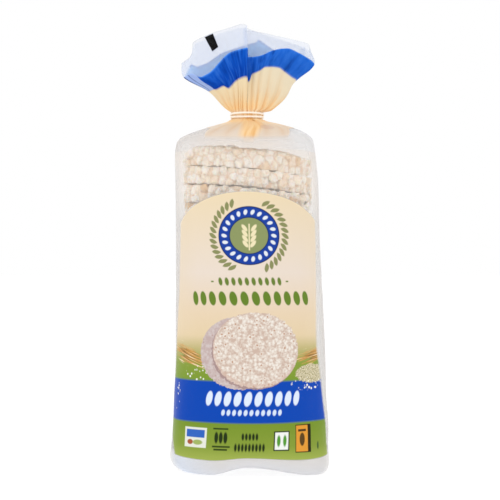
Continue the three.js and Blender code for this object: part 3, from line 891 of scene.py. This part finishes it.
at_back = edge(round_bag, PERIMETER / 4)
on_blue = edge(up, BLUE_LOW)
cap_edge = add_node("Math", square, CAP_RISE, CAP_LOW, operation="MULTIPLY_ADD")
cap_edge = add_node("Math", at_back, BACK_CAP_RISE, cap_edge, operation="MULTIPLY_ADD")
low_half = add_node("MapRange", up, TIE_V - 46, TIE_V - 32, 29.5, 38.5)
high_half = add_node("MapRange", up, TIE_V - 32, TIE_V - 20, 0.0, 43.0)
cap_half = add_node("Math", on_right, RIGHT_WIDER, low_half, operation="MULTIPLY_ADD")
cap_half = add_node("Math", cap_half, high_half, operation="ADD")
cap_half = add_node("Math", on_blue, -BLUE_NARROWER, cap_half, operation="MULTIPLY_ADD")
on_cap = all_of(edge(up, cap_edge, 2.5), edge(BLUE_HIGH, up), edge(cap_half, from_middle, 0.8))
printed = add_node("Math", on_label, on_cap, operation="ADD", use_clamp=True)
print("the blue field is", round(BLUE_HIGH - BLUE_LOW, 1), "mm high")

# %% Printed film: fields of colour up the sheet
SHEET_TOP = NECK_V + MOUTH_ABOVE_TIE


def up_the_sheet(stops):
    """A colour, and how dense it is, that changes with the height up the film."""
    fields = add_node("ValToRGB", add_node("Math", up, SHEET_TOP, operation="DIVIDE"))
    bands = fields.color_ramp.elements
    while len(bands) < len(stops):
        bands.new(1.0)
    for band, (height, tint, *dense) in zip(bands, stops):
        band.position = height / SHEET_TOP
        band.color = (*linear(tint)[:3], *(dense or [1.0]))
    return fields.outputs


colour = up_the_sheet(
    [
        (LABEL_LOW, "#9DAD50"),
        (21, "#869B3B"),
        (37.3, "#789330"),
        (37.6, "#1048B2"),
        (66.3, "#1048B2"),
        (66.6, "#7B9832"),
        (78, "#889C40"),
        (88, "#C0B47C"),
        (97, "#E2CDA8"),
        (112, "#E5D0B2"),
        (140, "#E6D8CA"),
        (195, "#E8D5B2"),
        (CAP_LOW, "#DFD0C1"),
        (TIE_V - 24, "#E3CDB2"),
        (TIE_V - 8, "#FAD9A6"),
        (TIE_V - 2, "#F9DFBC"),
        (TIE_V + 2, "#F9DFBC"),
        (TIE_V + 6, "#FADAA6"),
        (TIE_V + 17, "#EFD9B2"),
        (BLUE_LOW - 0.2, "#EAD8B4"),
        (BLUE_LOW + 0.2, "#003AA6"),
        (BLUE_HIGH - 1.3, "#0C55C2"),
        (BLUE_HIGH - 0.3, "#4E90EA"),
    ]
)[0]
print("the film is", round(SHEET_TOP, 1), "mm long, from the foot to the mouth")

# %% Printed film: fields that change across the sheet
in_cream = all_of(edge(up, 97.0, 8.0), edge(LABEL_HIGH + 5, up))
# the cream turns darker and yellower toward the sides of each panel: painted shade where the bag turns away
shade_toward_sides = add_node("MapRange", from_middle, 38.0, 62.0, 0.0, 0.5)
colour = lay(colour, all_of(shade_toward_sides, in_cream), "#E5D3B6")
at_front = on_front()
fan_right = add_node("MapRange", across, 2.0, 40.0, 0.0, 0.6)
in_fan = all_of(edge(up, TIE_V + 8, 8.0), edge(BLUE_LOW, up))
colour = lay(colour, all_of(fan_right, at_front, in_fan), "#E4DBC4")
# the blue of the fan turns lighter toward the right of its front: painted light
blue_lit_right = add_node("MapRange", across, -6.0, 30.0, 0.0, 0.5)
colour = lay(colour, all_of(blue_lit_right, at_front, on_blue), "#2A72DA")
count_nodes("fields of colour")

# %% Printed film: unit shapes
INK_SPREAD = 0.25


def unit_place(centre, half, turn=0.0, source=None):
    """Two coordinates that run from -1 to 1 along the two sides of a mark."""
    side, height = source or (across, up)
    aside = add_node("Math", side, centre[0], operation="SUBTRACT")
    above = add_node("Math", height, centre[1], operation="SUBTRACT")
    cos, sin = math.cos(math.radians(turn)), math.sin(math.radians(turn))
    place = []
    for own, other, size, slant in ((aside, above, half[0], sin), (above, aside, half[1], -sin)):
        slanted = add_node("Math", other, slant / size, operation="MULTIPLY")
        place.append(add_node("Math", own, cos / size, slanted, operation="MULTIPLY_ADD"))
    return place


def reach_of(place):
    """Distance from the middle of a mark."""
    squares = add_node("Math", place[1], place[1], operation="MULTIPLY")
    squares = add_node("Math", place[0], place[0], squares, operation="MULTIPLY_ADD")
    return add_node("Math", squares, operation="SQRT")


def oval(centre, half, turn=0.0, source=None):
    """1 inside an oval mark."""
    reach = reach_of(unit_place(centre, half, turn, source))
    return edge(1.0, reach, INK_SPREAD / min(half))


def box(centre, half, turn=0.0, source=None):
    """1 inside a box mark."""
    inside = []
    for size, place in zip(half, unit_place(centre, (1, 1), turn, source)):
        inside.append(edge(size, add_node("Math", place, operation="ABSOLUTE"), INK_SPREAD))
    return all_of(*inside)


# %% Printed film: rows, rings and streaks
def in_row(centre, half, pitch, count, turn, source=None):
    """A level row of equal grains."""
    side, height = source or (across, up)
    shift = pitch / 2 if count % 2 == 0 else 0.0
    aside = add_node("Math", side, centre[0] + shift, operation="SUBTRACT")
    moved = add_node("Math", aside, pitch / 2, -pitch / 2, operation="WRAP")
    inside = box(centre, (count * pitch / 2, half[1] + 3), 0, source)
    return all_of(oval((0, centre[1]), half, turn, (moved, height)), inside)


def in_ring(centre, ring_half, half, count, turn, opening=-1.0):
    """A ring of equal grains that follows an oval, and may be left open at its top and bottom."""
    place = unit_place(centre, ring_half)
    size = (ring_half[0] + ring_half[1]) / 2
    pitch = 2 * math.pi / count
    angle = add_node("Math", place[1], place[0], operation="ARCTAN2")
    round_it = add_node("Math", angle, pitch / 2, -pitch / 2, operation="WRAP")
    outwards = add_node("Math", reach_of(place), 1.0, operation="SUBTRACT")
    bent = [add_node("Math", part, size, operation="MULTIPLY") for part in (round_it, outwards)]
    own_angle = add_node("Math", angle, round_it, operation="SUBTRACT")
    aside = add_node("Math", add_node("Math", own_angle, operation="COSINE"), operation="ABSOLUTE")
    return all_of(oval((0, 0), half, turn, bent), edge(aside, opening, 0.01))


def streaks(place, scales, detail=2.0):
    """Soft patches drawn out into streaks, by giving the two directions of a place a scale each."""
    sides = [add_node("Math", *pair, operation="MULTIPLY") for pair in zip(place, scales)]
    drawn_out = add_node("CombineXYZ", *sides)
    return add_node("TexNoise", inputs={"Vector": drawn_out, "Scale": 1.0, "Detail": detail})


# %% [markdown]
# The marks themselves are plain. A blue medallion with an ear of grain stands between two leafy branches.
# Rows of rice grains run where a pack has its words. Below is a picture of two rice cakes on a green
# field, with straw, a pile of brown rice and loose white rice beside them, and last a row of small badges.

# %% Printed film: straw and a pile of brown rice
straws = (0.42, "#85663A"), (0.49, "#C29150"), (0.57, "#D4A664"), (0.65, "#EBDAB4")
for centre, half, turn in (((-49, 83), (19, 5.5), -14), ((50, 83), (17, 4.5), 10)):
    place = unit_place(centre, half, turn)
    strands = streaks(place, (0.8, 5.0))
    reach = reach_of(place)
    reach = add_node("Math", reach, reach, operation="MULTIPLY")
    ragged = add_node("Math", reach, -0.16, strands, operation="MULTIPLY_ADD")
    colour = lay(colour, edge(ragged, 0.36, 0.02), tones_of(strands, *straws))
specks = add_node("TexNoise", inputs={"Vector": sheet, "Scale": 1.1})
wander = add_node("TexNoise", inputs={"Vector": sheet, "Scale": 0.5})
crag = add_node("Math", wander, 3.0, -1.5, operation="MULTIPLY_ADD")
craggy = [add_node("Math", part, crag, operation="ADD") for part in (across, up)]
brown_rice = tones_of(specks, (0.35, "#8F8A62"), (0.5, "#CBBF9B"), (0.65, "#E6DEC6"))
colour = lay(colour, oval((47, 70.5), (15.5, 6.5), 0, craggy), brown_rice)
count_nodes("with straw and brown rice")

# %% Printed film: loose white rice
loose = add_node("TexVoronoi", inputs={"Vector": sheet, "Scale": 0.42})
grain_chance = add_node("SeparateColor", loose.outputs["Color"])
for centre, half, chance in (
    ((-38, 71), (12, 5), 0.45),
    ((43, 63.4), (15, 4.5), 0.15),
    ((-60, 53), (4.5, 10), 0.7),
):
    grains = all_of(edge(0.34, loose, 0.08), edge(grain_chance, chance, 0.02))
    colour = lay(colour, all_of(oval(centre, half), grains), "#F2F1EA")
count_nodes("with loose rice")

# %% Printed film: picture of the two cakes
DISC, DISC_HALF = (3.9, 87.3), (30, 25.6)

patches = add_node("TexNoise", inputs={"Vector": sheet, "Scale": 0.8, "Detail": 3.0})
dimples = add_node("Math", loose, 0.65, operation="SUBTRACT")
grainy = add_node("Math", patches, 1.3, dimples, operation="MULTIPLY_ADD")
popped = tones_of(grainy, (0.2, "#EDE6DD"), (0.42, "#E2D6CA"), (0.6, "#D9C9BC"), (0.85, "#CBB3A4"))
bran = all_of(edge(0.3, loose, 0.08), edge(grain_chance, 0.78, 0.02))
popped = lay(popped, all_of(bran, 0.8), "#B4805E")
behind = oval((DISC[0] - 10, DISC[1] - 2), (30, 24.8), 0, craggy)
colour = lay(colour, behind, lay(popped, 0.6, "#B9A6AA"))
colour = lay(colour, oval((DISC[0] - 1.2, DISC[1] - 1.2), DISC_HALF, 0, craggy), "#A88F8C")
colour = lay(colour, oval(DISC, DISC_HALF, 0, craggy), lay(popped, 0.5, "#CFAF9F"))
colour = lay(colour, oval((DISC[0] + 0.4, DISC[1] + 1.3), (29.2, 24.3), 0, craggy), popped)
count_nodes("with the picture")

# %% Printed film: medallion
MEDAL = (0.5, 165.0)
EAR = "#ECE0B8"

branches = in_ring(MEDAL, (25.6, 24.4), (1.4, 3.3), 40, 38, 0.38)
colour = lay(colour, all_of(branches, box(MEDAL, (40, 40))), "#8A8D5E")
colour = lay(colour, oval(MEDAL, (21.2, 20)), "#1B2C63")
colour = lay(colour, oval(MEDAL, (20.5, 19.3)), "#1F429E")
colour = lay(colour, in_ring(MEDAL, (17.1, 16), (1.2, 1.9), 22, 20), "#E3E8EE")
colour = lay(colour, oval(MEDAL, (13.6, 12.7)), "#1B2C63")
colour = lay(colour, oval(MEDAL, (13, 12.1)), "#8C9663")
for side in (-1, 1):
    for step in range(4):
        centre = (MEDAL[0] + side * (2.6 + 0.2 * step), MEDAL[1] - 5.6 + 3.6 * step)
        colour = lay(colour, oval(centre, (2.8, 1.25), side * 52), EAR)
colour = lay(colour, box((MEDAL[0], MEDAL[1] - 1), (0.45, 9)), EAR)
count_nodes("with the medallion")

# %% Printed film: rows of grains
DARK_GREEN = "#26331A"
for centre, half, pitch, count, turn, tint in (
    ((0.7, 133.9), (1.35, 2.8), 4.5, 10, 12, "#6A8038"),
    ((0.5, 122.4), (2.6, 4.9), 7.5, 12, 12, "#66822F"),
    ((2, 54), (2.4, 5.1), 6.7, 10, -12, "#DDE8F8"),
    ((0.8, 44.6), (1.2, 2.1), 3.7, 11, -12, "#D6E3F6"),
    ((-0.2, 28.2), (0.8, 2.4), 2.2, 5, 0, DARK_GREEN),
    ((-0.2, 20.8), (0.8, 2.7), 2.2, 9, 0, DARK_GREEN),
):
    colour = lay(colour, in_row(centre, half, pitch, count, turn), tint)
count_nodes("with the rows")

# %% Printed film: badges
for shape, centre, half, tint in (
    (box, (-25.6, 133.9), (1, 0.5), "#6A8038"),
    (box, (26.8, 133.9), (1, 0.5), "#6A8038"),
    (box, (-38.5, 26.7), (9.4, 6.8), "#E4E6DA"),
    (box, (-38.5, 29.3), (7.8, 2.7), "#3565BE"),
    (oval, (-42.6, 23.4), (2.6, 1.7), "#A85A3C"),
    (oval, (-36.1, 23.4), (4.0, 1.7), "#9FB264"),
    (oval, (-22.0, 27.3), (1.3, 3.9), "#27361A"),
    (oval, (-18.9, 27.3), (1.3, 3.9), "#27361A"),
    (oval, (-15.8, 27.3), (1.3, 3.9), "#27361A"),
    (box, (-19.2, 33.4), (5.2, 0.55), "#33451C"),
    (box, (-18.6, 21.2), (6, 0.6), "#33451C"),
    (box, (-18.9, 19.2), (4.6, 0.6), "#33451C"),
    (box, (20.4, 25.2), (5.4, 6.6), DARK_GREEN),
    (box, (20.4, 25.2), (4.6, 5.8), "#EEF1EC"),
    (oval, (18.3, 25.2), (1.2, 3.8), "#56983A"),
    (oval, (22.5, 25.2), (1.2, 3.8), "#56983A"),
    (box, (37.2, 26.4), (6.7, 9.2), "#2E2A1A"),
    (box, (36, 26.4), (5, 8.6), "#E39B3A"),
    (box, (36, 31.6), (3.4, 0.8), "#4A3A24"),
    (oval, (36, 25.6), (2.2, 4.3), "#5E4522"),
    (oval, (51.5, 20.8), (1.1, 2.3), "#4C6632"),
):
    colour = lay(colour, shape(centre, half), tint)
count_nodes("with the badges")

# %% [markdown]
# The back of such a pack carries tables and small print. They are drawn as what they look like from a
# step away: ruled plates, lines broken at uneven places, and a white plate with upright bars. The tube's
# seam in the UV map runs up the middle of the back, so the marks there read a distance that runs on
# across it.

# %% Printed film: plain panels on the back
BACK = PERIMETER / 2
round_back = (add_node("Math", across, PERIMETER, 0.0, operation="WRAP"), up)


def ruled(centre, half, pitch, line):
    """Level lines at an even pitch, inside a box on the back."""
    above = add_node("Math", up, centre[1], operation="SUBTRACT")
    moved = add_node("Math", above, pitch / 2, -pitch / 2, operation="WRAP")
    off_line = add_node("Math", moved, operation="ABSOLUTE")
    return all_of(edge(line, off_line, 0.15), box(centre, half, 0, round_back))


for centre, half, tint in (
    ((BACK - 22, 137), (18, 31), "#6D6C52"),
    ((BACK - 22, 137), (17.4, 30.4), "#F3EEDF"),
    ((BACK - 22, 161.5), (15, 2.6), "#66822F"),
    ((BACK + 21, 117), (15, 10), "#F5F4EE"),
):
    colour = lay(colour, box(centre, half, 0, round_back), tint)
colour = lay(colour, ruled((BACK - 22, 131.6), (15, 22.4), 4.4, 0.28), "#8B8A72")
words = edge(add_node("TexNoise", inputs={"Vector": sheet, "Scale": 0.55}), 0.43, 0.02)
for centre, half in (((BACK + 21, 150), (15, 15.4)), ((BACK, 26.4), (34, 7))):
    colour = lay(colour, all_of(ruled(centre, half, 2.8, 0.6), words), "#5D6636")
upright = edge(streaks((across, up), (0.9, 0.0)), 0.5, 0.03)
colour = lay(colour, all_of(upright, box((BACK + 21, 117.6), (12.4, 7.6), 0, round_back)), "#26281C")
for centre, half, pitch, count, turn, tint in (
    ((BACK, 180.5), (2.1, 3.9), 6.2, 9, 12, "#66822F"),
    ((BACK, 52), (2.3, 4.9), 6.6, 12, -12, "#DDE8F8"),
):
    colour = lay(colour, in_row(centre, half, pitch, count, turn, round_back), tint)
count_nodes("with the back")

# %% [markdown]
# Round the tie the film lies in gathers too fine to model. Where they crowd together the ink looks deeper,
# partly from the doubled film and partly as painted shade between the gathers. On the fan it turns lighter
# and darker along soft folds, as painted sheen and painted shade. Both are streaks that run up the film,
# which is stretched far more up than across.

# %% Printed film: gathers and folds
GATHERS_REACH = 27.0

from_tie = add_node("Math", add_node("Math", up, TIE_V, operation="SUBTRACT"), operation="ABSOLUTE")
from_tie = add_node("Math", from_tie, GATHERS_REACH, operation="DIVIDE")
nearness = add_node("Math", 1.0, from_tie, operation="SUBTRACT")
gathers = streaks((across, up), (0.55, 0.02), 3.0)
# the ink deepens to orange along the gathers: partly doubled film, partly painted shade
gathers_doubled_and_shaded = all_of(
    add_node("MapRange", gathers, 0.5, 0.66, 0.0, 0.6), add_node("MapRange", nearness, 0.0, 0.8)
)
colour = lay(colour, gathers_doubled_and_shaded, "#F0B468")
folds = streaks((across, up), (0.24, 0.05), 4.0)
# along the soft folds of the fan the blue is painted lighter, as painted sheen, and darker, as painted
# shade
for low, high, strength, tint in ((0.5, 0.7, 0.4, "#3F80E0"), (0.48, 0.3, 0.6, "#002C84")):
    folded = add_node("MapRange", folds, low, high, 0.0, strength)
    colour = lay(colour, all_of(folded, on_blue), tint)
count_nodes("with gathers and folds")

# %% Printed film: the tuck under the tie
tuck_half = add_node("MapRange", up, CAP_LOW + 1, TIE_V - 3, 5.5, 17.0)
tuck_side = add_node("Math", add_node("Math", across, 2.5, operation="SUBTRACT"), operation="ABSOLUTE")
tuck_ends = all_of(edge(up, CAP_LOW - 1, 5.0), edge(TIE_V + 1, up, 2.0))
in_tuck = all_of(edge(tuck_half, tuck_side, 2.6), tuck_ends)
# the folded cream of the tuck deepens to orange along the gathers: partly doubled film, partly painted
# shade
tuck_shaded_tone = tones_of(gathers, (0.4, "#F6D09A"), (0.52, "#F2C68A"), (0.66, "#E9AE62"))
colour = lay(colour, all_of(in_tuck, 0.9), tuck_shaded_tone)
# a soft mauve patch to the right of the tuck: the painted shade of a pleat
colour = lay(colour, all_of(oval((17, TIE_V - 31), (7, 5)), 0.35), "#C9AAA0")
# a small brown spot just under the tie: the painted shadow of a hole in the gathered film
colour = lay(colour, oval((13.5, TIE_V - 7.6), (2.2, 2.4)), "#B5793A")
count_nodes("with the tuck")

# %% Printed film: the cutter's mark at the mouth, and lines down the left side
BLUE_MIDDLE = (BLUE_LOW + BLUE_HIGH) / 2

mark = box((-42.4, SHEET_TOP - 4.7), (4.1, 4.2))
side_band = box((-73, BLUE_MIDDLE), (8.5, 11.2))
side_lines = add_node(
    "Math", box((-79.6, BLUE_MIDDLE), (1.1, 11)), box((-75, BLUE_MIDDLE), (0.5, 11)), operation="MAXIMUM"
)
for share, tint in ((mark, "#020202"), (side_band, "#94B2F0"), (side_lines, "#3C5590")):
    colour = lay(colour, share, tint)
covered = printed
for share in (mark, in_tuck, all_of(side_band, 0.85), side_lines):
    covered = add_node("Math", covered, share, operation="MAXIMUM")
count_nodes("all of the print")

# %% [markdown]
# The film is thin and clear, so what the eye gets from it is mostly haze. Where the film is doubled over
# in a crease, both the haze and the ink look denser, and the depth of the creases darkens the ink, partly
# for the doubled film and partly as painted shade in the crease.
# A glass shader would bend the light as a thick pane does. So the film lets it straight through instead,
# with Alpha, as much as the haze and the ink leave open.

# %% Printed film: the shader
CLEAR_TINT, CLEAR_ALPHA, INK_ALPHA = "#E6E4E2", 0.05, 0.985
CREASE_STRENGTH = 0.34
FILM_IOR = 1.49  # polypropylene

creased = add_node("Attribute", attribute_name="crease").outputs["Fac"]
# the ink is darkened in the creases: partly doubled film, partly painted shade
doubled_and_shaded = tones_of(creased, (0.1, "#FFFFFF"), (1.0, "#F2C88C"))
layers = {0: CREASE_STRENGTH, 6: colour, 7: doubled_and_shaded}
creased_ink = add_node("Mix", inputs=layers, data_type="RGBA", blend_type="MULTIPLY").outputs[2]
alpha = add_node("MapRange", covered, 0.0, 1.0, CLEAR_ALPHA, INK_ALPHA)
ripples = add_node("TexNoise", inputs={"Vector": sheet, "Scale": 0.09, "Detail": 1.0})
film_bump = add_node("Bump", inputs={"Strength": 0.35, "Distance": 0.6 * MM, "Height": ripples})
tree.links.new(lay(CLEAR_TINT, covered, creased_ink), shader.inputs["Base Color"])
tree.links.new(alpha.outputs[0], shader.inputs["Alpha"])
tree.links.new(film_bump.outputs[0], shader.inputs["Normal"])
shader.inputs["Roughness"].default_value = 0.3
shader.inputs["IOR"].default_value = FILM_IOR
shader.inputs["Specular IOR Level"].default_value = 0.04
count_nodes("printed film")

# %% [markdown]
# ### Inner side of the film
# The haze of the film is given to its inner side. It is faint over the cakes, bluish at the mouth, where
# the film hangs free, and dense along the bottom, where the tube is sealed and folded under in layers.
# Seen edge on, the eye looks through more of the film, so the haze grows denser there. One material
# for both sides would be simpler, but then the print would hide the haze and show on the inside too.

# %% Inner side: haze up the sheet
film_inside, tree, shader = new_finish("cast polypropylene film, inner side")
across, up = read_sheet()[1:]
from_middle = read_panels()[1]
at_front = on_front()
haze, density = up_the_sheet(
    [
        (2, "#E6E6EA", 0.85),
        (14, "#EAE6E2", 0.75),
        (18, "#E0DFDC", 0.34),
        (180, "#E2DFDA", 0.3),
        (200, "#EEE2D6", 0.24),
        (STACK_TOP + 2, "#EBDAC8", 0.28),
        (STACK_TOP + 14, "#E4D6C8", 0.36),
        (TIE_V - 10, "#DCD6D4", 0.3),
        (TIE_V + 3, "#F2D6AC", 0.4),
        (BLUE_LOW - 4, "#EBDCBC", 0.45),
        # behind the blue print the inner side is a dense light blue: partly the ink seen from inside,
        # partly painted light coming through it
        (BLUE_LOW, "#A6D0FF", 0.8),
        (BLUE_HIGH - 2, "#A2D2FF", 0.94),
        (BLUE_HIGH, "#CFDCF6", 0.33),
        (SHEET_TOP, "#CDD6EA", 0.38),
    ]
)
count_nodes("haze up the sheet")

# %% Inner side: haze at the foot, the sides and the shoulder
# the clear film at the front left of the foot is made paler and bluer: painted light
foot_left_lit = add_node("MapRange", across, -50.0, -20.0, 0.8, 0.0)
haze = lay(haze, all_of(foot_left_lit, at_front, edge(16, up, 5.0)), "#E8F0FF")
at_side = all_of(add_node("MapRange", from_middle, 54.0, 72.0), edge(STACK_TOP, up, 12.0))
haze = lay(haze, at_side, "#E1DFDD")
on_shoulder = all_of(edge(up, STACK_TOP), edge(TIE_V - 12, up, 4.0), at_front)
# the shoulder's haze is painted darker on the left, as painted shade, and paler and cooler on the right, as
# painted light
for side, tint in ((1, "#E2E6EC"), (-1, "#D4D0CE")):
    outwards = add_node("MapRange", across, side * 14.0, side * 44.0, 0.0, 0.8)
    haze = lay(haze, all_of(outwards, on_shoulder), tint)
count_nodes("haze all over")

# %% Inner side: the shader
SIDE_DENSER, CREASE_DENSER, EDGE_DENSER = 0.12, 0.06, 0.22

creased = add_node("Attribute", attribute_name="crease").outputs["Fac"]
edge_on = add_node("LayerWeight", inputs={"Blend": 0.5}).outputs["Facing"]
denser = add_node("MapRange", edge_on, 0.55, 0.98, 0.0, EDGE_DENSER)
denser = add_node("Math", creased, CREASE_DENSER, denser, operation="MULTIPLY_ADD")
density = add_node("Math", density, denser, operation="ADD")
density = add_node("Math", at_side, SIDE_DENSER, density, operation="MULTIPLY_ADD", use_clamp=True)
tree.links.new(haze, shader.inputs["Base Color"])
tree.links.new(density.outputs[0], shader.inputs["Alpha"])
shader.inputs["Roughness"].default_value = 0.4
shader.inputs["IOR"].default_value = FILM_IOR
shader.inputs["Specular IOR Level"].default_value = 0.1
film.data.materials.clear()
film.data.materials.append(film_print)
film.data.materials.append(film_inside)
count_nodes("inner side of the film")

# %% [markdown]
# ### Twist tie
# The tie is a thin wire laminated between two strips of plastic. It looks satin and almost white, with a
# faint unevenness where the strips were pressed together, about 2 mm across. Its shape comes from the
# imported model, so it only gets a finish here.

# %% Twist tie finish
tie_plastic, tree, shader = new_finish("twist tie, plastic laminated on wire")
place = add_node("TexCoord").outputs["Object"]
pressed = add_node("TexNoise", inputs={"Vector": place, "Scale": 600.0})
tree.links.new(lay("#FFFCF6", pressed, "#FDF0E0"), shader.inputs["Base Color"])
shader.inputs["Roughness"].default_value = 0.45
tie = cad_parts["twist_tie"]
tie.data.materials.clear()
tie.data.materials.append(tie_plastic)
print("the tie keeps its", len(tie.data.polygons), "faces")

# %% [markdown]
# The film and the cakes belong to the one rigid body of the pack. Together they take the place of its
# plain solid, and the film is what the record calls the printed film.

# %% Put the pieces on the frame
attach(film, "root")
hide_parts("bag_of_rice_cakes")
for cake in cakes:
    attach(cake, "root")
    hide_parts("bag_of_rice_cakes")
print(len(cakes) + 1, "pieces take the place of the plain solid")

# %% [markdown]
# ## Floor, light and camera
# The pack stands on a pale floor in even white light, with one larger soft light to the left. The floor
# glows faintly, which makes it white without washing out the pack. The camera looks level, from about a
# metre away and just below the middle of the pack.

# %% Floor and light
FLOOR_SIZE = 80  # metres
FLOOR_GLOW = 0.76

bpy.ops.mesh.primitive_plane_add(size=FLOOR_SIZE, location=(0, 0, 0))
floor = bpy.context.object
floor.name = "floor"
floor_paint, tree, shader = new_finish("white studio floor")
shader.inputs["Base Color"].default_value = linear("#8C8C8C")
shader.inputs["Roughness"].default_value = 0.8
shader.inputs["Emission Color"].default_value = (1, 1, 1, 1)
shader.inputs["Emission Strength"].default_value = FLOOR_GLOW
floor.data.materials.append(floor_paint)

world = bpy.data.worlds.new("studio")
bpy.context.scene.world = world
world.use_nodes = True
world.node_tree.nodes["Background"].inputs["Color"].default_value = (1, 1, 1, 1)
world.node_tree.nodes["Background"].inputs["Strength"].default_value = 1.0


def soft_light(name, place, aim, size, power):
    """A rectangular lamp that faces the point it is aimed at."""
    lamp = bpy.data.lights.new(name, "AREA")
    lamp.shape, lamp.size, lamp.size_y, lamp.energy = "RECTANGLE", *size, power
    holder = bpy.data.objects.new(name, lamp)
    bpy.context.scene.collection.objects.link(holder)
    holder.location = place
    holder.rotation_euler = (Vector(aim) - Vector(place)).to_track_quat("-Z", "Y").to_euler()


soft_light("soft_left", (-0.9, -0.9, 0.7), (0, 0, 0.15), (0.7, 1.0), 1.4)
soft_light("soft_right", (1.1, -0.6, 0.4), (0, 0, 0.15), (0.5, 0.9), 0.6)
soft_light("soft_top", (0.0, -0.2, 1.2), (0, 0, 0.1), (0.8, 0.8), 0.8)
print(len(bpy.data.lights), "lamps over a floor", FLOOR_SIZE, "m wide")

# %% Camera
CAMERA_DISTANCE = 1000.0
CAMERA_HEIGHT = 140.0
VIEW_WIDTH = 356.5  # millimetres across the picture at the middle of the stack
VIEW_MIDDLE = (1.1, 155.2)
SENSOR_WIDTH = 36.0
camera_data = bpy.data.cameras.new("camera")
camera = bpy.data.objects.new("camera", camera_data)
bpy.context.scene.collection.objects.link(camera)
bpy.context.scene.camera = camera
camera_data.sensor_width = SENSOR_WIDTH
camera_data.lens = SENSOR_WIDTH * CAMERA_DISTANCE / VIEW_WIDTH
camera_data.clip_start, camera_data.clip_end = 0.01, 100
camera_data.shift_y = (VIEW_MIDDLE[1] - CAMERA_HEIGHT) / VIEW_WIDTH
camera.location = Vector((VIEW_MIDDLE[0] + SHIFT_X, SHIFT_Y - CAMERA_DISTANCE, CAMERA_HEIGHT)) * MM
camera.rotation_euler = (math.radians(90), 0, 0)
print("the lens is", round(camera_data.lens, 1), "mm")

# %% [markdown]
# Printed colours have to come out as they are mixed, so the view transform is the plain one. A line of
# sight crosses the film many times in the folds of the fan, and each crossing counts as a bounce.

# %% View and bounces
scene = bpy.context.scene
scene.view_settings.view_transform = "Standard"
scene.cycles.transparent_max_bounces = 32
print("a line of sight may cross", scene.cycles.transparent_max_bounces, "layers")
